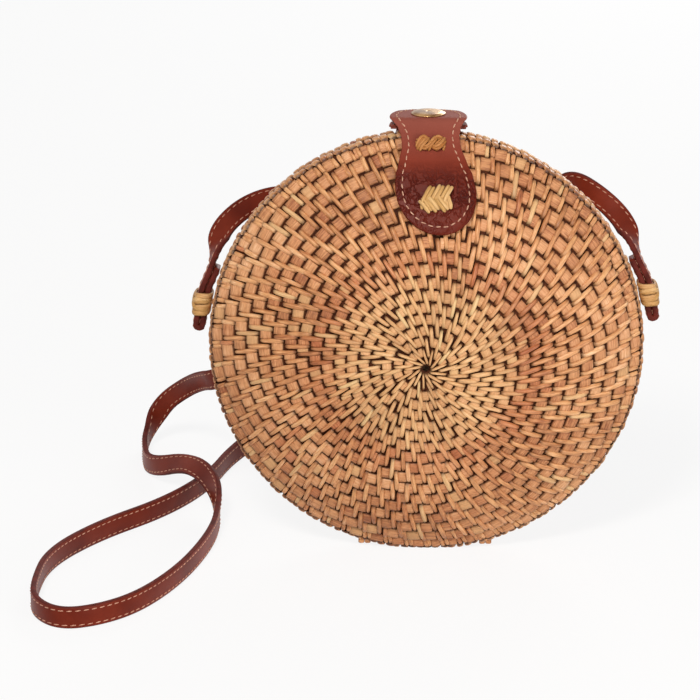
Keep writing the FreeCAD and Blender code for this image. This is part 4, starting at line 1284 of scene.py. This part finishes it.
# Matt painted board: it glows for those rays, so that it shows white and still takes a faint shadow
floorMesh = meshObject("studioFloor", [(-6, -6, 0), (6, -6, 0), (6, 6, 0), (-6, 6, 0)], [(0, 1, 2, 3)],
                       plainFinish("pale studio floor", "#F4F4F4", "#FAFAFA", 0.9, 500, 0.01))
tree = floorMesh.data.materials[0].node_tree
glow = addNode(tree, "ShaderNodeEmission", {"Color": linear("#FFFFFF"), "Strength": 1.0})[0]
share = addNode(tree, "ShaderNodeMath", {0: backgroundRays(tree), 1: 0.86}, operation="MULTIPLY")[0]
lit = tree.nodes["Principled BSDF"].outputs[0]
surface = addNode(tree, "ShaderNodeMixShader", {0: share, 1: lit, 2: glow})[0]
setInputs(tree, tree.nodes["Material Output"], {"Surface": surface})

# Studio light and a white background
world = bpy.data.worlds.new("studio")
scene.world = world
world.use_nodes = True
tree = world.node_tree
strength = addNode(tree, "ShaderNodeMapRange", {"Value": backgroundRays(tree), "To Min": 0.22, "To Max": 1.0})
setInputs(tree, tree.nodes["Background"], {"Color": linear("#FFFFFF"), "Strength": strength[0]})
scene.view_settings.view_transform = "Standard"

# lights in metres: place, aim, width, watts, colour
lights = {
    "keyLight": ((-0.32, -1.25, 1.25), (0, 0, 0.08), 0.35, 19.6, "#FFF8F2"),
    "fillLight": ((1.15, -1.3, 0.3), (0, 0, 0.08), 0.7, 13.5, "#FFFAF8"),
    "backLight": ((0.45, 1.5, 0.75), (0, 0, 0.1), 0.7, 9, "#FFFFFF"),
}
for name, (place, aim, width, energy, colour) in lights.items():
    lamp = bpy.data.lights.new(name, "AREA")
    lamp.shape = "RECTANGLE"
    lamp.size = lamp.size_y = width
    lamp.energy = energy
    lamp.color = linear(colour)[:3]
    thing = bpy.data.objects.new(name, lamp)
    thing.location = place
    thing.rotation_euler = (Vector(aim) - Vector(place)).to_track_quat("-Z", "Y").to_euler()
    scene.collection.objects.link(thing)

# Camera at the photograph's angle, in degrees above the horizon and metres; lens in millimetres
view = {"elevation": 16.7, "distance": 1.5, "height": 0.0844, "across": 0.0298, "down": 0.0036,
        "lens": 196.7, "sensor": 36, "farthest": 20}
rise = math.radians(view["elevation"])
middle = Vector((0, 0, view["height"]))
back = Vector((0, -math.cos(rise), math.sin(rise)))
upward = Vector((0, math.sin(rise), math.cos(rise)))
aim = middle - Vector((1, 0, 0)) * view["across"] - upward * view["down"]
camera = bpy.data.objects.new("camera", bpy.data.cameras.new("camera"))
camera.location = middle + back * view["distance"]
camera.rotation_euler = (aim - camera.location).to_track_quat("-Z", "Y").to_euler()
camera.data.lens = view["lens"]
camera.data.sensor_width = view["sensor"]
camera.data.clip_end = view["farthest"]
scene.collection.objects.link(camera)
scene.camera = camera

for group in shapeSets.values():
    for thing in list(group.objects):
        bpy.data.objects.remove(thing)
    bpy.data.collections.remove(group)
